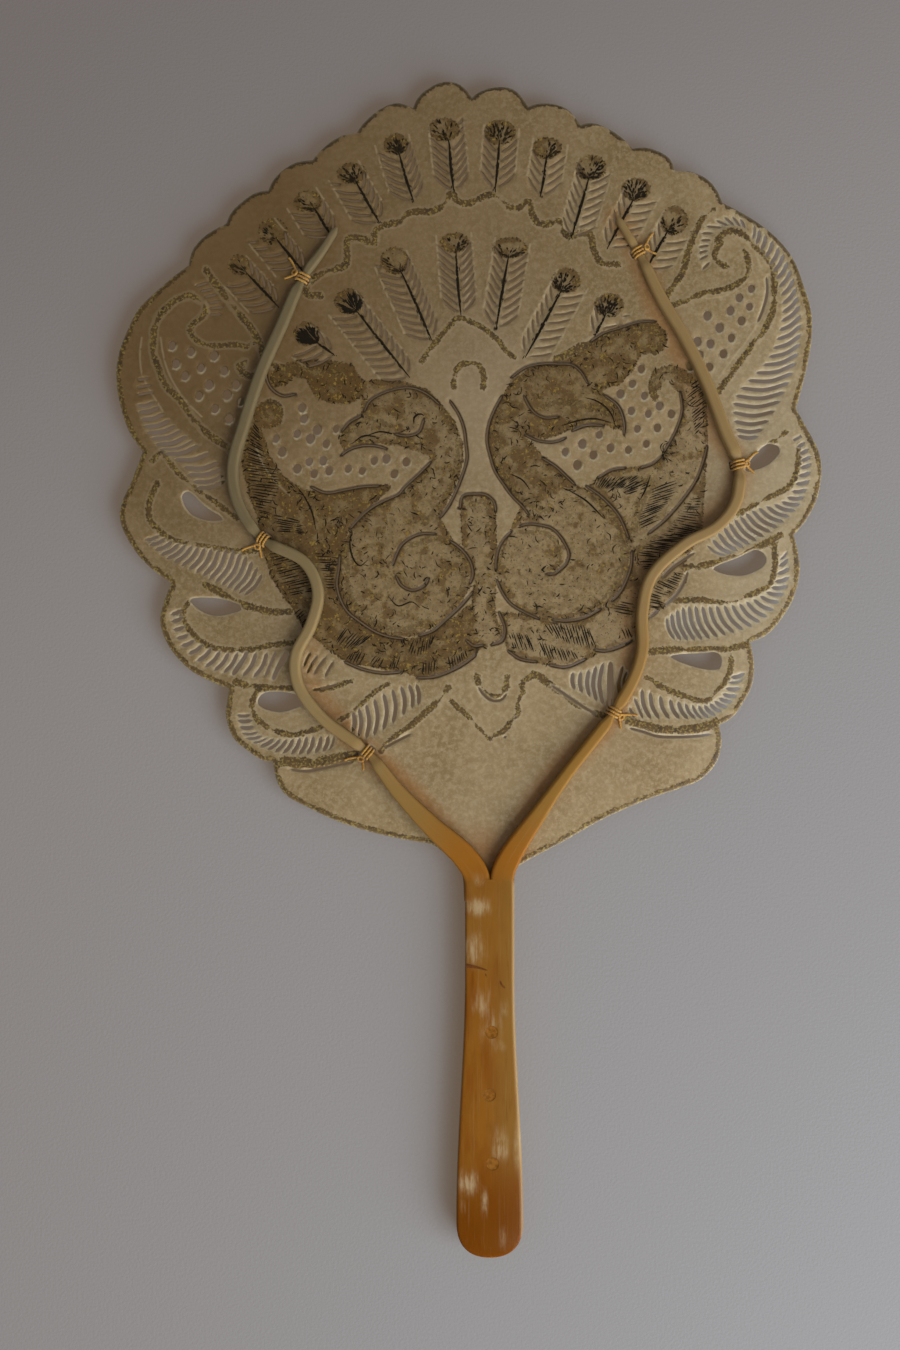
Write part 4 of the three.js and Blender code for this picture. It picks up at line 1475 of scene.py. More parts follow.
        # Painted highlight along the right edge of the grip's face
        edge = smooth_step(across - side, *self.highlight_band) * (1 - smooth_step(y, *self.highlight_end))
        fields = {
            "run": run / 1000,
            "across": across / 1000,
            "height": co[:, 2] / 1000,
            "tip": tip,
            "greyed": greyed,
            "cloud": cloud,
            "dusk": end,
            "honey": np.maximum(self.oil_above * smooth_step(slope, *self.oil_start), beside),
            "edge": edge * smooth_step(co[:, 2], *self.highlight_level),
        }
        for name, values in fields.items():
            set_attribute(piece.data, name, values)


@dataclass
class HideLeaf:
    """The leaf: one sheet of hide with its pierced and painted ornament. Sizes in millimetres."""

    hide: Material
    node: Object
    back_lines: list[ArmLine]
    # The mesh: spacing of its points inside, along the edge, along the marks of cuts and along paint
    grid: float = 1.9
    grid_shift: float = 0.2
    edge_step: float = 1.0
    mark_step: float = 0.35
    rim_step: float = 0.4
    paint_step: float = 1.1
    field_step: float = 1.2
    # The room that points leave to cut edges and to each other
    ring_room: tuple = (0.35, 0.55)
    paint_room: tuple = (0.45, 0.55)
    grid_room: tuple = (0.8, 1.0)
    notch_turn: float = 0.75
    crease: float = math.radians(50)
    # The edge of a cut: rounded down, with a low lip beside it
    lip_at: float = 0.5
    lip_height: float = 0.09
    lip_half: float = 0.28
    edge_fall: float = 0.2
    edge_half: float = 0.22
    bar: float = 0.45
    # Slits of the borders, from the CAD: how they bow about the middle of the leaf, and their lips
    slit_width: float = 1.3
    slit_shares: tuple = (1, 0.88, 0.76, 0.64, 0.52)
    slit_shortest: float = 3
    slit_middle: float = 110
    slit_bow: float = 0.09
    slit_step: float = 1.0
    slit_blunt: float = 0.75
    # Their lips are painted less pale higher up and on the left, away from the light: a painted highlight
    slit_lip: float = 0.38
    slit_lip_high: float = 0.15
    slit_lip_rise: tuple = (85, 120)
    slit_lip_left: float = 0.12
    lens_lip: float = 0.3
    lens_step: float = 0.8
    # Slits drawn from listed lines
    bird_lip: float = -0.95
    # The pale lips of the border slits fade out towards the left, away from the light: a painted highlight
    border_lip: float = 0.3
    border_lip_run: tuple = (-60, 20)
    line_step: float = 0.9
    line_blunt: float = 0.8
    line_tries: int = 3
    # Dots, and the low arcs beside them
    dot_points: int = 10
    dot_sizes: tuple = (0.85, 1.1)
    # Lips of the dots: dark all round as a painted shade, and paler towards the light at the lower right as a
    # painted highlight
    dot_lip: float = -0.3
    dot_lit_lip: float = 1.1
    dot_arc: tuple = (-120, 0, 5)
    dot_arc_gap: tuple = (0.5, 0.6)
    dot_arc_step: float = 0.8
    # Barbs of the feathers
    barb_gaps: tuple = (2.4, 2.75)
    barb_lean_gap: float = 0.6
    barb_width: float = 0.72
    barb_blunt: float = 0.6
    barb_slant: tuple = (44, 20)
    barb_reach: tuple = (6.2, 2.4)
    barb_ridge: float = 0.4
    barb_first: float = 0.4
    barb_above: float = 1.0
    barb_lean: float = 0.1
    barb_shift: float = 0.4
    barb_least: float = 2
    barb_shortest: float = 1.9
    barb_cut: float = 0.6
    barb_sag: float = 0.07
    # Lips of the barbs: dark on the left as a painted shade, rising to pale towards the right, nearer the light,
    # as a painted highlight
    barb_lip: tuple = (-0.25, 0.35)
    barb_lip_run: tuple = (0, 30)
    quill_clear: float = 1.05
    quill_half: float = 0.55
    eye_clear: float = 0.7
    eye_side: float = 0.8
    ridge_half: float = 0.35
    ridge_height: float = 0.12
    ridge_slope: tuple = (-0.3, 0.5)
    # Paint: how far it is told inside and outside its edge, and how much less of it shows at the back
    paint_limit: float = 3.0
    plain_stain: float = 0.5
    eye_points: int = 20
    back_loss: float = 0.7
    edge_lip: float = 0.1
    # Tints, by the distance from the fork up and across: the painted glow and shadow of the arms behind the hide,
    # painted shade towards the top and the left, and paler hide
    # The painted glow and shadow along the back arms: how it fades upwards, how much of it fades on each side, and
    # how far it reaches
    arm_glow_fade: tuple = (35, 90)
    arm_glow_loss: dict = field(default_factory=lambda: {Side.LEFT: 0.9, Side.RIGHT: 0.2})
    arm_glow_reach: tuple = (1.2, 6.0)
    fork_reach: tuple = (6, 20)
    crest_rise: tuple = (180, 205)
    # Painted shade: how it rises upwards, how fast it grows to the left, and how strongly and where it darkens the
    # left side
    shade_rise: tuple = (60, 200)
    aged_half: float = 90
    shade_left: float = 0.2
    shade_side: tuple = (30, 90)
    # Paler hide on the right below the crest, and in a patch in the middle
    paler_side: tuple = (50, 95)
    bleached_top: tuple = (130, 200)
    bleached_middle: float = 0.6
    paler_spot: tuple = (22, 150, 32)
    rim_width: tuple = (1.8, 0.5)
    outline: Array = field(init=False)
    face: float = field(init=False)
    holes: list = field(init=False, default_factory=list)
    ridges: list = field(init=False, default_factory=list)
    marks: Array = field(init=False, default_factory=lambda: np.zeros((0, 2)))
    lips: list = field(init=False, default_factory=list)
    chance: random.Random = field(init=False, default_factory=lambda: random.Random(SEED))

    def cad_loops(self) -> list[Array]:
        """The edges of the CAD leaf's front face.

        Returns:
            Closed outlines in millimetres, longest first.
        """
        shape = bmesh.new()
        shape.from_mesh(self.node.data)
        bmesh.ops.remove_doubles(shape, verts=shape.verts, dist=1e-6)
        front = {f.index for f in shape.faces if f.normal.z > FACING}
        ahead = {}
        for face in shape.faces:
            if face.index in front:
                for loop in face.loops:
                    if not any(f.index in front for f in loop.edge.link_faces if f is not face):
                        ahead[loop.vert.index] = loop.link_loop_next.vert.index
        spots = {v.index: (v.co.x * 1000, v.co.y * 1000) for v in shape.verts}
        shape.free()
        loops = []
        while ahead:
            at = next(iter(ahead))
            loop = []
            while at in ahead:
                loop.append(spots[at])
                at = ahead.pop(at)
            loops.append(np.array(loop))
        return sorted(loops, key=lambda p: -np.ptp(p, axis=0).sum())

    def rounded(self, loop: Array) -> Array:
        """An edge made smooth between its sharp notches.

        Args:
            loop: The closed edge.

        Returns:
            The smooth edge.
        """
        before, after = loop - np.roll(loop, 1, 0), np.roll(loop, -1, 0) - loop
        turn = np.abs(
            np.arctan2(before[:, 0] * after[:, 1] - before[:, 1] * after[:, 0], (before * after).sum(1))
        )
        corners = np.flatnonzero(turn > self.notch_turn)
        if len(corners) < 2:
            return curve_through(loop, self.edge_step, closed=True)
        parts = []
        for a, b in zip(corners, np.roll(corners, -1)):
            stretch = np.take(loop, np.arange(a, b + 1 if b > a else b + len(loop) + 1), 0, mode="wrap")
            parts.append(curve_through(stretch, self.edge_step)[:-1])
        return np.vstack(parts)

    def pierce(self, outline: Array, lip: float, lit_lip: float = 0.0) -> bool:
        """Adds a hole if it stays clear of the holes that are there.

        Args:
            outline: The hole's edge.
            lip: How pale its lip is, from -1 for dark to 1 for pale; the pale end is partly a painted highlight
                and the dark end partly a painted shade.
            lit_lip: How much paler the lip is painted on the side towards the light, at the lower right: a painted
                highlight.

        Returns:
            Whether there was room for it.
        """
        rim = curve_through(outline, self.mark_step, closed=True)
        if len(self.marks):
            low, high = rim.min(0) - self.bar, rim.max(0) + self.bar
            near = self.marks[np.all((self.marks > low) & (self.marks < high), axis=1)]
            if len(near) and np.min(np.linalg.norm(near[:, None] - rim[None], axis=2)) < self.bar:
                return False
        self.holes.append(outline)
        self.marks = np.vstack([self.marks, rim])
        # Painted highlight: the lip is paler on the side towards the light
        lower = (rim - rim.mean(0)) @ np.array(DOT_LIGHT_WAY)
        self.lips.extend(lip + lit_lip * np.clip(lower / lower.max(), 0, 1))
        return True

    def cad_holes(self, loops: list[Array]) -> None:
        """The holes of the CAD leaf: lenses and thread slots as they are, slits bowed and rounded.

        Args:
            loops: The edges of the holes.
        """
        for loop in loops:
            sides = np.linalg.norm(np.roll(loop, -1, 0) - loop, axis=1)
            if len(loop) == 4 and sides.max() > self.slit_shortest:
                self.cad_slit(loop, int(np.argmin(sides)))
            else:
                smooth = loop if len(loop) == 4 else curve_through(loop, self.lens_step, closed=True)
                self.pierce(smooth, self.lens_lip)

    def cad_slit(self, loop: Array, k: int) -> None:
        """One slit of a border, as wide as its neighbours leave room for.

        Args:
            loop: The four corners of the slit in the CAD.
            k: The corner where one of its short sides starts.
        """
        ends = [(loop[k] + loop[(k + 1) % 4]) / 2, (loop[(k + 2) % 4] + loop[(k + 3) % 4]) / 2]
        middle = np.array(FORK_MM) + (0, self.slit_middle)
        start, end = sorted(ends, key=lambda p: np.linalg.norm(p - middle))
        left = np.array([start[1] - end[1], end[0] - start[0]])
        on_left = start[0] < FORK_MM[0]
        bow = self.slit_bow * left * (1 if on_left else -1)
        line = curve_through(np.array([start, (start + end) / 2 + bow, end]), self.slit_step)
        # Painted highlight: the lip is paler low on the leaf and on the right, nearer the light
        high = float(smooth_step(start[1] - FORK_MM[1], *self.slit_lip_rise))
        pale = self.slit_lip - self.slit_lip_high * high - self.slit_lip_left * on_left
        for share in self.slit_shares:
            if self.pierce(slit_outline(line, share * self.slit_width, self.slit_blunt), pale):
                return
        LOG.info("leaf: no room for a slit at %s", start.round(1))

    def feather_slits(self) -> None:
        """Herringbone slits on both sides of each quill, clear of the quill and of the eye."""
        for feather in FEATHERS:
            for side in Side:
                self.barbs(feather, side)

    def barbs(self, feather: Feather, side: Side) -> None:
        """The slits on one side of a quill, and the low ridge at their outer ends.

        Args:
            feather: The feather.
            side: The side of its quill.
        """
        top, end = read(feather.quill)
        eye = read(feather.eye)[0]
        round_eye = feather.half_size() + self.eye_clear
        dark, paler = self.barb_lip
        # Painted shade and highlight: the lip goes from dark on the left to pale on the right, nearer the light
        pale = dark + paler * float(smooth_step(eye[0] - FORK_MM[0], *self.barb_lip_run))
        length = np.linalg.norm(top - end)
        up = (top - end) / length
        lean = up[0] * side.value
        slant = math.radians(self.barb_slant[0] + self.barb_slant[1] * lean)
        cos, sin = math.cos(slant), -side.value * math.sin(slant)
        turned = np.array([up[0] * cos - up[1] * sin, up[0] * sin + up[1] * cos])
        reach, lead = self.barb_reach[0] + self.barb_reach[1] * lean, self.quill_clear / math.sin(slant)
        outer = turned * (reach + lead + self.barb_ridge)
        ridge = np.array([end + outer, (end + top) / 2 + outer, top + outer])
        self.ridges.append(curve_through(ridge, self.paint_step))
        gap = self.barb_gaps[int(eye[0] > FORK_MM[0])] + self.barb_lean_gap * abs(lean)
        above = self.barb_above if lean > self.barb_lean else round_eye[1]
        out = np.array([-up[1], up[0]]) * -side.value
        for at in np.arange(self.barb_first, length + above, gap):
            start, spare = end + up * at + turned * lead, reach
            while spare > self.barb_least and (((start - eye) / round_eye) ** 2).sum() < 1:
                start, spare = start + turned * self.barb_shift, spare - self.barb_shift
            if (start - eye) @ up > 0 and (start - eye) @ out < self.eye_side * round_eye[0]:
                continue
            for size in np.arange(spare, self.barb_shortest, -self.barb_cut):
                stop = start + turned * size
                sag = (start + stop) / 2 - up * self.barb_sag * size
                line = curve_through(np.array([start, sag, stop]), self.slit_step)
                if self.pierce(slit_outline(line, self.barb_width, self.barb_blunt), pale):
                    break

    def line_slits(self) -> None:
        """The listed slits, shortened where they meet another hole."""
        drawn = ((BIRD_SLITS, BIRD_SLIT_WIDTH, self.bird_lip), (BORDER_SLITS, BORDER_SLIT_WIDTH, self.border_lip))
        for lines, width, lip in drawn:
            for text in lines:
                line = curve_through(read(text), self.line_step)
                # Painted highlight: pale lips fade out towards the left, away from the light
                lit = float(smooth_step(line[0, 0] - FORK_MM[0], *self.border_lip_run))
                shown = lip if lip < 0 else lip * lit
                for spare in range(self.line_tries):
                    part = line[spare : len(line) - spare]
                    if self.pierce(slit_outline(part, width, self.line_blunt), shown):
                        break

    def dots(self) -> None:
        """The punched dots, each with a low arc at its lower right, the side towards the light, where the lip and
        the arc are painted pale as a highlight.
        """
        angles = np.linspace(0, 2 * np.pi, self.dot_points, endpoint=False)
        half = np.array([DOT_HALF_WIDTH, DOT_HALF_HEIGHT])
        turn = np.radians(np.linspace(*self.dot_arc))[:, None]
        arc = np.hstack([np.cos(turn), np.sin(turn)]) * (half + self.dot_arc_gap)
        for spot in read(DOTS):
            size = self.chance.uniform(*self.dot_sizes)
            ring = np.column_stack([np.cos(angles), np.sin(angles)]) * half * size
            if self.pierce(spot + ring, self.dot_lip, self.dot_lit_lip):
                self.ridges.append(curve_through(spot + arc * size, self.dot_arc_step))

    def pierce_all(self) -> None:
        """Cuts every hole of the ornament, the CAD ones first."""
        loops = self.cad_loops()
        self.outline = self.rounded(loops[0])
        self.cad_holes(loops[1:])
        self.line_slits()
        self.dots()
        self.feather_slits()
        self.ridges.extend(curve_through(read(text), self.paint_step) for text in RIDGES)
        LOG.info("leaf: %d holes", len(self.holes))

    def fresh(self, spots: Array, taken: dict, gap: float) -> list:
        """Takes spots that lie at least a gap away from those taken before.

        Args:
            spots: The spots to choose from.
            taken: Those taken before, by the column and row of the square that each was found in.
            gap: The gap.

        Returns:
            The spots that were taken.
        """
        kept = []
        for x, y in spots:
            column, row = int(x // gap), int(y // gap)
            cells = [(column + i, row + k) for i in (-1, 0, 1) for k in (-1, 0, 1)]
            near = [q for cell in cells for q in taken.get(cell, ())]
            if all((x - qx) ** 2 + (y - qy) ** 2 > gap * gap for qx, qy in near):
                taken.setdefault((column, row), []).append((x, y))
                kept.append((x, y))
        return kept

    def free(self, spots: Array, margin: float) -> Array:
        """Those spots that lie on the hide, clear of every cut edge.

        Args:
            spots: The spots to choose from.
            margin: How far from a cut edge they lie at least.

        Returns:
            The spots that are clear.
        """
        spots = spots[inside(spots, self.outline)]
        spots = spots[self.whole(spots)]
        return spots[self.edge_distance(spots)[0] > margin]

    def whole(self, spots: Array) -> Array:
        """Which spots lie in none of the holes.

        Args:
            spots: The spots.

        Returns:
            True or false for each spot.
        """
        clear = np.ones(len(spots), bool)
        for hole in self.holes:
            clear &= ~inside(spots, hole)
        return clear

    def edge_distance(self, spots: Array) -> tuple[Array, Array, Array]:
        """How spots lie to the cut edges.

        Args:
            spots: The spots.

        Returns:
            The distance from the nearest cut, the distance from the leaf's own edge, and the paleness of the
            nearest cut's lip.
        """
        rim = curve_through(self.outline, self.rim_step, closed=True)
        found = []
        for marks in (self.marks, rim):
            tree = kdtree.KDTree(len(marks))
            for k, (x, y) in enumerate(marks):
                tree.insert((x, y, 0), k)
            tree.balance()
            found.append([tree.find((x, y, 0))[1:] for x, y in spots])
        hole, outer = (np.array([gap for _, gap in pairs]) for pairs in found)
        lip = np.where(hole < outer, np.array(self.lips)[[k for k, _ in found[0]]], self.edge_lip)
        return np.minimum(hole, outer), outer, lip

    def relief(self, near: Array) -> Array:
        """How high the face stands at a distance from a cut."""
        lip = self.lip_height * np.exp(-(((near - self.lip_at) / self.lip_half) ** 2))
        return -self.edge_fall * np.exp(-((near / self.edge_half) ** 2)) + lip

    def washes(self, spots: Array) -> tuple[Array, Array]:
        """Where the hide is washed with brown.

        Args:
            spots: Places on the leaf.

        Returns:
            How deep each spot lies inside a wash, and how strongly that wash stains.
        """
        wash, stain = np.full(len(spots), -self.paint_limit), np.full(len(spots), self.plain_stain)
        loops = [(area.strength, read(area.outline)) for area in WASHES]
        turn = np.linspace(0, 2 * np.pi, self.eye_points, endpoint=False)
        for feather in FEATHERS:
            ring = np.column_stack([np.cos(turn), np.sin(turn)]) * feather.half_size()
            loops.append((self.plain_stain, read(feather.eye)[0] + ring))
        for strength, loop in loops:
            near = near_box(spots, loop)
            gap = line_distance(spots[near], closed_up(loop))
            depth = np.where(inside(spots[near], loop), gap, -gap)
            stain[near] = np.where(depth > wash[near], strength, stain[near])
            wash[near] = np.maximum(wash[near], depth)
        return wash, stain

    def tints(self, spots: Array) -> dict[str, Array]:
        """How the hide is tinted: the painted glow and shadow of the arms behind it, painted shade towards the top
        and the left, and paler hide on the right and in the middle.

        Args:
            spots: Places on the leaf.

        Returns:
            Shares from 0 to 1 by the name of the tint.
        """
        up, across = spots[:, 1] - FORK_MM[1], spots[:, 0] - FORK_MM[0]
        # Painted glow and shadow along the back arms and round the fork
        behind = np.zeros(len(spots))
        for line in self.back_lines:
            gap = line_distance(spots, line.line)
            strength = 1 - self.arm_glow_loss[line.side] * smooth_step(up, *self.arm_glow_fade)
            behind = np.maximum(behind, (1 - smooth_step(gap, *self.arm_glow_reach)) * strength)
        behind = np.maximum(behind, 1 - smooth_step(np.hypot(across, up), *self.fork_reach))
        # Painted shade, darker towards the top and the left
        aged = smooth_step(up, *self.shade_rise) * (0.5 - 0.5 * across / self.aged_half)
        aged = aged + self.shade_left * smooth_step(-across, *self.shade_side)
        bleached = smooth_step(across, *self.paler_side) * (1 - smooth_step(up, *self.bleached_top))
        half_width, middle, half_height = self.paler_spot
        spot = np.exp(-((across / half_width) ** 2) - ((up - middle) / half_height) ** 2)
        return {
            "behind": behind,
            "crest": smooth_step(up, *self.crest_rise),
            "aged": np.clip(aged, 0, 1),
            "bleached": np.maximum(bleached, self.bleached_middle * spot),
        }

    def fields(self, spots: Array, rim: Array) -> dict[str, Array]:
        """Where paint lies.

        Args:
            spots: Places on the leaf.
            rim: Their distance from the leaf's own edge.

        Returns:
            Tints as shares, and paint as distances in millimetres, above 0 where there is paint, by name.
        """
        welts, flat = (
            [(half, curve_through(read(text), self.field_step)) for half, text in lines]
            for lines in (GOLD_LINES, BODY_GOLD)
        )
        raised = self.strip_field(spots, welts)
        ridge = self.strip_field(spots, [(self.ridge_half, line) for line in self.ridges])
        wash, stain = self.washes(spots)
        tints = self.tints(spots)
        wide, narrower = self.rim_width
        return {
            "gold": np.maximum(raised, self.strip_field(spots, flat)),
            "raised": np.maximum(raised, ridge),
            "ridge": ridge,
            "wash": np.clip(wash, -self.paint_limit, self.paint_limit),
            "stain": stain,
            **tints,
            "rim": wide - narrower * tints["crest"] - rim,
        }

    def strip_field(self, spots: Array, strips: list) -> Array:
        """How deep spots lie inside the nearest of some strips.

        Args:
            spots: Places on the leaf.
            strips: A half width and a line each.

        Returns:
            A distance in millimetres for each spot, below 0 outside.
        """
        result = np.full(len(spots), -self.paint_limit)
        for half, line in strips:
            near = near_box(spots, line)
            result[near] = np.maximum(result[near], half - line_distance(spots[near], line))
        return result

    def mesh_spots(self) -> list:
        """Points for the mesh inside its edges: along the lips, along the paint and in a loose grid.

        Returns:
            The points, none too close to another or to a cut.
        """
        rings = []
        for loop in [self.outline, *self.holes]:
            line = curve_through(loop, self.paint_step, closed=True)
            turned = normals(np.vstack([line[-1:], line, line[:1]]))[1:-1] * self.lip_at
            rings.extend([line + turned, line - turned])
        paint = []
        strips = [(half, curve_through(read(text), self.paint_step)) for half, text in GOLD_LINES + BODY_GOLD]
        strips += [(self.quill_half, curve_through(read(f.quill), self.paint_step)) for f in FEATHERS]
        for half, line in strips + [(2 * self.ridge_half, line) for line in self.ridges]:
            side = normals(line) * half
            paint.extend([line, line + side, line - side])
        low, high = self.outline.min(0), self.outline.max(0)
        rows = np.arange(low[1], high[1], self.grid * TRIANGLE_HEIGHT)
        shift = (-self.grid_shift, self.grid_shift)
        loose = [
            (x + self.grid / 2 * (k % 2) + self.chance.uniform(*shift), y + self.chance.uniform(*shift))
            for k, y in enumerate(rows)
            for x in np.arange(low[0], high[0], self.grid)
        ]
        taken, spots = {}, []
        rooms = ((rings, self.ring_room), (paint, self.paint_room), ([loose], self.grid_room))
        for groups, (margin, gap) in rooms:
            spots += self.fresh(self.free(np.vstack(groups), margin), taken, gap)
        return spots

    def build(self) -> Object:
        """The sheet as one closed mesh, with the places of its paint.

        Returns:
            The piece.
        """
        self.pierce_all()
        spots, edges = [], []
        for loop in [self.outline, *self.holes]:
            first = len(spots)
            spots.extend(map(tuple, loop))
            edges.extend((first + k, first + (k + 1) % len(loop)) for k in range(len(loop)))
        spots += self.mesh_spots()
        made = geometry.delaunay_2d_cdt([Vector(s) for s in spots], edges, [], 0, 1e-5, False)
        flat = np.array([tuple(v) for v in made[0]])
        faces = np.array([f for f in made[2] if len(f) == 3])
        middle = flat[faces].mean(1)
        faces = faces[inside(middle, self.outline) & self.whole(middle)]
        used, faces = np.unique(faces, return_inverse=True)
        return self.solid(flat[used], faces.reshape(-1, 3))

    def solid(self, flat: Array, faces: Array) -> Object:
        """Gives the cut sheet its thickness, lips and paint.

        Args:
            flat: The sheet's points.
            faces: Its triangles.

        Returns:
            The piece.
        """
        a, b, c = (flat[faces[:, k]] for k in range(3))
        turned = (b[:, 0] - a[:, 0]) * (c[:, 1] - a[:, 1]) - (b[:, 1] - a[:, 1]) * (c[:, 0] - a[:, 0]) < 0
        faces[turned] = faces[turned][:, ::-1]
        near, rim, lip = self.edge_distance(flat)
        low, high = (corner.z * 1000 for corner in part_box("leaf"))
        self.face = high
        rise = self.relief(near)
        fields = self.fields(flat, rim)
        welt = self.ridge_height * smooth_step(fields.pop("raised"), *self.ridge_slope)
        top = np.column_stack([flat, high + rise + welt]) / 1000
        under = np.column_stack([flat, low - rise]) / 1000
        count = len(flat)
        pairs = {(int(f[k]), int(f[(k + 1) % 3])) for f in faces for k in range(3)}
        walls = [[i + count, k + count, k, i] for i, k in pairs if (k, i) not in pairs]
        polygons = faces.tolist() + (faces[:, ::-1] + count).tolist() + walls
        piece = new_object("hide_leaf", np.vstack([top, under]).tolist(), polygons, self.hide)
        for name, values in fields.items():
            back = values - self.back_loss if name in ("gold", "wash", "ridge") else values
            set_attribute(piece.data, name, np.concatenate([values, back]))
        set_attribute(piece.data, "lip", np.tile(np.minimum(near, self.paint_limit), 2))
        set_attribute(piece.data, "paleness", np.tile(lip, 2))
        only(piece)
        bpy.ops.object.shade_smooth_by_angle(angle=self.crease)
        carry(piece, "hide", "leaf")
        return piece


@dataclass
class InkDrawing:
    """The ink on the leaf: plain lines, hatching, feathers and short marks. Sizes in millimetres."""

    ink: Material
    chance: random.Random
    face: float
    edge_drop: float = 0.1
    # A stroke swells from its ends: the stretch of a sine that its width follows
    swell: tuple = (0.25, 2.9)
    ray_height: float = 50
    line_step: float = 1.0
    line_fade: float = 0.2
    # Hatching
    hatch_step: float = 0.3
    hatch_place: tuple = (0.35, 0.65)
    hatch_short: float = 0.12
    hatch_bend: float = 0.15
    hatch_half: tuple = (0.17, 0.25)
    hatch_fade: float = 0.3
    hatch_break: tuple = (2, 12)
    # Quills of the feathers
    quill_start: tuple = (0.4, 0.6)
    quill_bow: float = 0.25
    quill_step: float = 1.2
    quill_half: float = 0.46
    quill_fade: float = 0.1
    specks: int = 12
    speck_off: float = 0.7
    speck_half: float = 0.2
    speck_fade: float = 0.6
    speck_length: tuple = (0.03, 0.06)
    # Strokes that fan out over the eyes of the feathers
    fan_root: tuple = (0.2, 0.8)
    fan_strokes: int = 150
    fan_reach: tuple = (0.8, 1.0)
    fan_worn: float = 0.5
    fan_kept: tuple = (0.1, 1.0)
    fan_starts: tuple = (0.05, 0.8)
    fan_ends: tuple = (0.5, 1.0)
    fan_full: float = 0.95
    fan_short: tuple = (0.12, 0.32)
    fan_least: float = 0.1
    fan_bend: float = 0.15
    fan_half: tuple = (0.2, 0.4)
    fan_fade: float = 1.1
    # Short curled marks: more of them near the edge of their area
    mark_inner: float = 0.18
    mark_edge: float = 0.82
    mark_depth: float = 2.2
    mark_length: tuple = (0.3, 0.85)
    mark_lengths: tuple = (1, 1, 1, 2)
    mark_curl: float = 0.5
    mark_step: float = 0.6
    mark_half: tuple = (0.13, 0.27)
    mark_fade: float = 0.5

    def about(self, reach: float) -> float:
        """A chance number from minus a reach to that reach."""
        return self.chance.uniform(-reach, reach)

    def strokes(self) -> list[Stroke]:
        """Every stroke of ink, in the order of drawing.

        Returns:
            The strokes.
        """
        made = []
        for half, text in INK_LINES:
            made.append((curve_through(read(text), self.line_step), half, self.line_fade))
        for start, end in HATCHES:
            made.extend(self.hatch(*(curve_through(read(t), self.hatch_step) for t in (start, end))))
        for feather in FEATHERS:
            made.extend(self.feather(feather))
        for density, text in SCRIBBLES:
            made.extend(self.scribble(read(text), density))
        return made

    def hatch(self, begin: Array, finish: Array) -> list[Stroke]:
        """Broken strokes side by side.

        Args:
            begin: The line that they start on.
            finish: The line that they end on.

        Returns:
            The strokes.
        """
        made, rough = [], self.chance
        count = round(self.hatch_step * max(len(begin), len(finish)) / HATCH_GAP)
        for k in range(count):
            t = (k + rough.uniform(*self.hatch_place)) / count
            a, b = begin[int(t * (len(begin) - 1))], finish[int(t * (len(finish) - 1))]
            early, late = (rough.uniform(0, self.hatch_short) for _ in range(2))
            a, b = a + (b - a) * early, b - (b - a) * late
            bend = (a + b) / 2 + np.array([self.about(self.hatch_bend), self.about(self.hatch_bend)])
            line = curve_through(np.array([a, bend, b]), self.line_step)
            half, fade = rough.uniform(*self.hatch_half), rough.random() * self.hatch_fade
            stop = rough.randrange(*self.hatch_break)
            made.extend((part, half, fade) for part in (line[:stop], line[stop:]) if len(part) > 1)
        return made

    def feather(self, feather: Feather) -> list[Stroke]:
        """The quill of a feather and the strokes that fan out over its eye.

        Args:
            feather: The feather.

        Returns:
            The strokes.
        """
        rough = self.chance
        eye = read(feather.eye)[0]
        top, end = read(feather.quill)
        bow = (top + end) / 2 + np.array([self.about(self.quill_bow), 0])
        start = eye * self.quill_start[0] + top * self.quill_start[1]
        quill = curve_through(np.array([start, top, bow, end]), self.quill_step)
        made = [(quill, self.quill_half, self.quill_fade)]
        near, far = self.speck_length
        for _ in range(self.specks):
            at = top + (end - top) * rough.random() + np.array([self.about(self.speck_off), 0])
            line = np.array([at, at + (end - top) * near, at + (end - top) * far])
            made.append((line, self.speck_half, rough.random() * self.speck_fade))
        root = eye * self.fan_root[0] + top * self.fan_root[1]
        worn_side = rough.uniform(0, 2 * math.pi)
        for _ in range(round(self.fan_strokes * feather.ink)):
            angle = rough.uniform(0, 2 * math.pi)
            ray = np.array([math.cos(angle), math.sin(angle)])
            tip = eye + ray * feather.half_size() * rough.uniform(*self.fan_reach)
            left = feather.ink + self.fan_worn * math.cos(angle - worn_side)
            kept = left > rough.uniform(*self.fan_kept)
            a, b = sorted((rough.uniform(*self.fan_starts), rough.uniform(*self.fan_ends)))
            if feather.ink < self.fan_full:
                b = min(1.0, a + rough.uniform(*self.fan_short))
            if kept and b - a > self.fan_least:
                line = root + np.outer([a, (a + b) / 2, b], tip - root)
                line[1] += self.about(self.fan_bend)
                fade = self.fan_fade - feather.ink
                made.append((line, rough.uniform(*self.fan_half), rough.random() * fade))
        return made

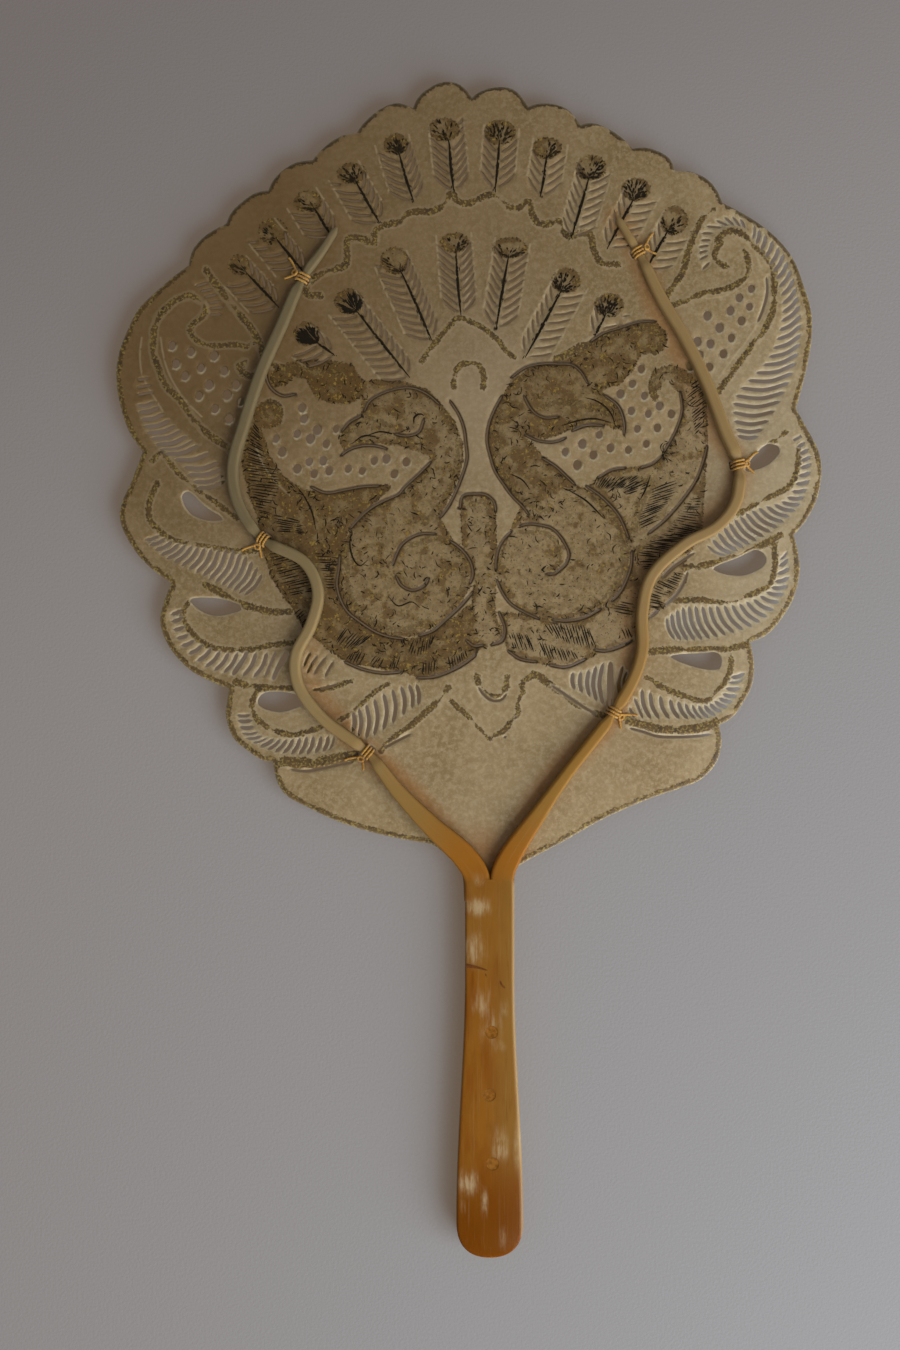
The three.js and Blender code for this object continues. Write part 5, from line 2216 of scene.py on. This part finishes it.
    def scribble(self, loop: Array, density: float) -> list[Stroke]:
        """Short curled marks spread over an area.

        Args:
            loop: The outline of the area.
            density: How many marks there are for each square centimetre.

        Returns:
            The strokes.
        """
        rough = self.chance
        x, y = loop.T
        area = abs(np.dot(x, np.roll(y, 1)) - np.dot(y, np.roll(x, 1))) / 2
        low, high = loop.min(0), loop.max(0)
        made = []
        while len(made) < area / 100 * density:
            spot = np.array([rough.uniform(low[0], high[0]), rough.uniform(low[1], high[1])])
            if not inside(spot[None], loop)[0]:
                continue
            deep = float(line_distance(spot[None], closed_up(loop))[0])
            if rough.random() > self.mark_inner + self.mark_edge * math.exp(-deep / self.mark_depth):
                continue
            angle = rough.uniform(0, math.pi)
            size = rough.uniform(*self.mark_length) * rough.choice(self.mark_lengths)
            along = np.array([math.cos(angle), math.sin(angle)]) * size
            curl = np.array([-along[1], along[0]]) * self.about(self.mark_curl)
            line = curve_through(np.array([spot - along, spot + curl, spot + along]), self.mark_step)
            made.append((line, rough.uniform(*self.mark_half), rough.random() * self.mark_fade))
        return made

    def surface(self, leaf: BVHTree, spots: Array) -> Array:
        """How high the leaf's face stands.

        Args:
            leaf: The leaf's shape.
            spots: Places on it in millimetres.

        Returns:
            A height in millimetres for each spot, or not a number over a hole or an edge.
        """
        heights = np.full(len(spots), np.nan)
        for k, (x, y) in enumerate(spots):
            place = leaf.ray_cast((x / 1000, y / 1000, self.ray_height / 1000), (0, 0, -1))[0]
            if place and place.z * 1000 > self.face - self.edge_drop:
                heights[k] = place.z * 1000
        return heights

    def build(self, leaf: Object) -> None:
        """Thin raised strokes on the face of the hide, broken where it is pierced.

        Args:
            leaf: The leaf.
        """
        verts, faces, fades = [], [], []
        shape = BVHTree.FromPolygons([v.co for v in leaf.data.vertices], [p.vertices for p in leaf.data.polygons])
        for line, half, fade in self.strokes():
            side = normals(line) * half * np.sin(np.linspace(*self.swell, len(line)))[:, None]
            middle = self.surface(shape, line)
            clear = np.isfinite(middle)
            edges = [self.surface(shape, line + s) for s in (side, -side)]
            left, right = (np.where(np.isfinite(e), e, middle) for e in edges)
            heights = np.column_stack([left, middle, right])
            for k in range(len(line)):
                if not clear[k] or (k and clear[k - 1]):
                    continue
                stop = k
                while stop + 1 < len(line) and clear[stop + 1]:
                    stop += 1
                if stop > k:
                    part = slice(k, stop + 1)
                    add_stroke(verts, faces, line[part], side[part], heights[part])
                    fades.extend([fade] * 4 * (stop + 1 - k))
        piece = new_object("ink_drawing", verts, faces, self.ink)
        set_attribute(piece.data, "fade", np.array(fades))
        carry(piece, "hide")


@dataclass
class Lashing:
    """One tie of golden thread round a front and a back arm, with its knot and loose ends. In millimetres."""

    thread: Material
    side: Side
    level: int
    lines: tuple
    turns: float = 2.5
    turn_points: int = 400
    pitch: float = 1.1
    half_width: float = 1.8
    thread_radius: float = 0.38
    ply_radius: float = 0.24
    ply_pitch: float = 1.7
    ply_step: float = 0.2
    squareness: float = 0.6
    half_depth: float = 4.9
    tip_depth: float = 2.4
    waist_sink: float = 1.1
    fit: float = 0.25
    hide_half: float = 0.45
    knot_gap: float = 0.4
    knot_size: float = 1.15
    NAMES = ("bottom", "middle", "top")
    # The knot's course: along the arm, away from it and up from the hide
    KNOT = (
        *((-2.6, 2.4, 0.35), (-1.6, 1.5, 0.4), (-0.6, 0.6, 0.9), (0.5, 0.2, 1.5), (0.9, 0.9, 1.2)),
        *((0.2, 1.3, 0.7), (-0.6, 0.9, 1.3), (-0.5, 0.1, 1.9), (0.4, 0.0, 1.9), (0.9, 0.7, 1.0)),
        *((1.6, 1.7, 0.45), (2.5, 3.0, 0.35), (3.0, 4.2, 0.35)),
    )
    # A way that no stretch of thread follows, to twist the plies from
    TWIST_FROM = (0.13, 0.22, 0.97)

    def frame(self) -> tuple[Array, Array, Array, float]:
        """Where the tie sits.

        Returns:
            Its middle, the directions along and across the arms, and half of its height.
        """
        middle = from_fork(parsed(ArmLine.TIES[self.side]))[self.level]
        along, depths = np.zeros(2), []
        for line in self.lines:
            k = int(np.argmin(np.abs(line.runs - line.ties[self.level])))
            along += np.array([line.left[k][1], -line.left[k][0]])
            taper = max(0, (line.ties[self.level] - line.ties[1]) / (line.length - line.ties[1]))
            depths.append(self.half_depth + (self.tip_depth - self.half_depth) * taper - self.waist_sink)
        along /= np.linalg.norm(along)
        return middle, along, np.array([along[1], -along[0]]), max(depths) + self.fit + self.thread_radius

    def squared(self, value: Array) -> Array:
        """A sine or cosine changed so that a circle becomes a rounded square."""
        return np.sign(value) * np.abs(value) ** self.squareness

    def winding(self) -> Array:
        """The line of the thread round the arms, from the face of the hide and back to it.

        Returns:
            Its points.
        """
        middle, along, across, height = self.frame()
        lead = math.asin(((self.hide_half + self.fit) / height) ** (1 / self.squareness)) / (2 * math.pi)
        turns = np.linspace(lead, self.turns - lead, self.turn_points)
        angle = np.pi - 2 * np.pi * turns
        run = self.pitch * (turns - self.turns / 2)
        flat = middle + np.outer(run, along) + np.outer(self.half_width * self.squared(np.cos(angle)), across)
        return np.column_stack([flat, self.half_depth + height * self.squared(np.sin(angle))])

    def knot(self) -> Array:
        """A small overhand knot at the side of the arm, with two loose ends on the hide.

        Returns:
            The points of its line.
        """
        middle, along, across, _ = self.frame()
        sign = self.side.value
        seat = middle + across * sign * (self.half_width + self.knot_gap)
        top = self.half_depth + self.hide_half
        size = self.knot_size
        points = [(*(seat + along * size * a + across * sign * size * c), top + z) for a, c, z in self.KNOT]
        return np.array(points)

    def plies(self, line: Array) -> list[Array]:
        """The two plies that twist round a thread's line.

        Args:
            line: The line.

        Returns:
            The line of each ply.
        """
        fine = curve_through(line, self.ply_step)
        along = np.gradient(fine, axis=0)
        along /= np.linalg.norm(along, axis=1)[:, None]
        side = np.cross(along, np.array(self.TWIST_FROM))
        side /= np.maximum(np.linalg.norm(side, axis=1), 1e-6)[:, None]
        other = np.cross(along, side)
        runs = np.arange(len(fine)) * self.ply_step
        made = []
        for turn in (0, np.pi):
            angle = runs / self.ply_pitch * 2 * np.pi + turn
            offset = side * np.cos(angle)[:, None] + other * np.sin(angle)[:, None]
            made.append(fine + offset * (self.thread_radius - self.ply_radius))
        return made

    def build(self) -> None:
        """Makes the tie as one mesh of round plies."""
        name = f"tie_{self.side.name.lower()}_{self.NAMES[self.level]}"
        curve = bpy.data.curves.new(name, "CURVE")
        curve.dimensions = "3D"
        curve.bevel_depth = self.ply_radius / 1000
        curve.bevel_resolution = 1
        curve.use_fill_caps = True
        for route in (self.winding(), self.knot()):
            for ply in self.plies(route):
                spline = curve.splines.new("POLY")
                spline.points.add(len(ply) - 1)
                spline.points.foreach_set("co", np.column_stack([ply / 1000, np.ones(len(ply))]).ravel())
        made = bpy.data.objects.new(f"thread_{name}", curve)
        bpy.context.scene.collection.objects.link(made)
        only(made)
        bpy.ops.object.convert(target="MESH")
        piece = bpy.context.object
        piece.data.materials.clear()
        piece.data.materials.append(self.thread)
        bpy.ops.object.shade_smooth()
        carry(piece, "thread", name)


@dataclass
class Studio:
    """The ground under the fan, the soft light and the camera over it. Sizes in metres."""

    ground: float = 3.0
    ground_drop: float = 0.0002
    sky: str = "#f4f2f0"
    sky_strength: float = 0.3
    lamp_size: float = 0.7
    lamp_power: float = 7.3
    lamp_colour: tuple = (1.0, 0.97, 0.93)
    lamp_place: tuple = (0.45, -0.42, 0.4)
    lens: float = 35
    sensor: float = 36
    leaf_height: float = 0.0049

    def build(self, cloth: Material) -> None:
        """Places the ground, the lights and the camera.

        Args:
            cloth: The finish of the ground.
        """
        bpy.ops.object.select_all(action="DESELECT")
        bpy.ops.mesh.primitive_plane_add(size=self.ground, location=(0, 0, -self.ground_drop))
        floor = bpy.context.object
        floor.name = "plain_ground"
        floor.data.materials.append(cloth)
        self.lights()
        self.camera()

    def lights(self) -> None:
        """A wide soft lamp from the lower right, and even light from all round."""
        world = bpy.data.worlds.new("soft_light")
        bpy.context.scene.world = world
        world.use_nodes = True
        sky = world.node_tree.nodes["Background"].inputs
        sky["Color"].default_value = srgb(self.sky)
        sky["Strength"].default_value = self.sky_strength
        lamp = bpy.data.lights.new("window", "AREA")
        lamp.shape, lamp.energy, lamp.color = "RECTANGLE", self.lamp_power, self.lamp_colour
        lamp.size = lamp.size_y = self.lamp_size
        made = bpy.data.objects.new("window", lamp)
        made.location = self.lamp_place
        aim = Vector((0.0, 0.0, 0.0)) - made.location
        made.rotation_euler = aim.to_track_quat("-Z", "Y").to_euler()
        bpy.context.scene.collection.objects.link(made)

    def camera(self) -> None:
        """A camera straight over the fan, as in the picture."""
        data = bpy.data.cameras.new("camera")
        data.lens, data.sensor_width = self.lens, self.sensor
        made = bpy.data.objects.new("camera", data)
        aim = read("{},{}".format(*PICTURE_MIDDLE))[0] / 1000
        height = PICTURE[1] * PIXEL_MM / 1000 * self.lens / self.sensor
        made.location = (aim[0], aim[1], self.leaf_height + height)
        bpy.context.scene.collection.objects.link(made)
        bpy.context.scene.camera = made


def main() -> None:
    """Builds the fan round its frame."""
    logging.basicConfig(level=logging.INFO, format="%(name)s: %(message)s")
    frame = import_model()
    bpy.context.scene.view_settings.view_transform = "Standard"
    nodes = frame["nodes"]
    Studio().build(Cloth().material())
    lines = {(half, side): ArmLine(half, side) for half in Half for side in Side}
    ink = Ink().material()
    edge = HideEdge().material()
    handle = HornHandle(Horn().material(), edge)
    for half in Half:
        handle.half(half, [lines[half, side] for side in Side])
    handle.hide_end()
    leaf = HideLeaf(Rawhide().material(), nodes["leaf"], [lines[Half.BACK, side] for side in Side])
    sheet = leaf.build()
    InkDrawing(ink, leaf.chance, leaf.face).build(sheet)
    thread = Thread().material()
    for side in Side:
        for level in range(len(Lashing.NAMES)):
            Lashing(thread, side, level, (lines[Half.FRONT, side], lines[Half.BACK, side])).build()
    peg = PegHorn().material()
    for number, name in enumerate(("peg_upper", "peg_middle", "peg_lower")):
        handle.peg(number, name, peg)


if __name__ == "__main__":
    main()
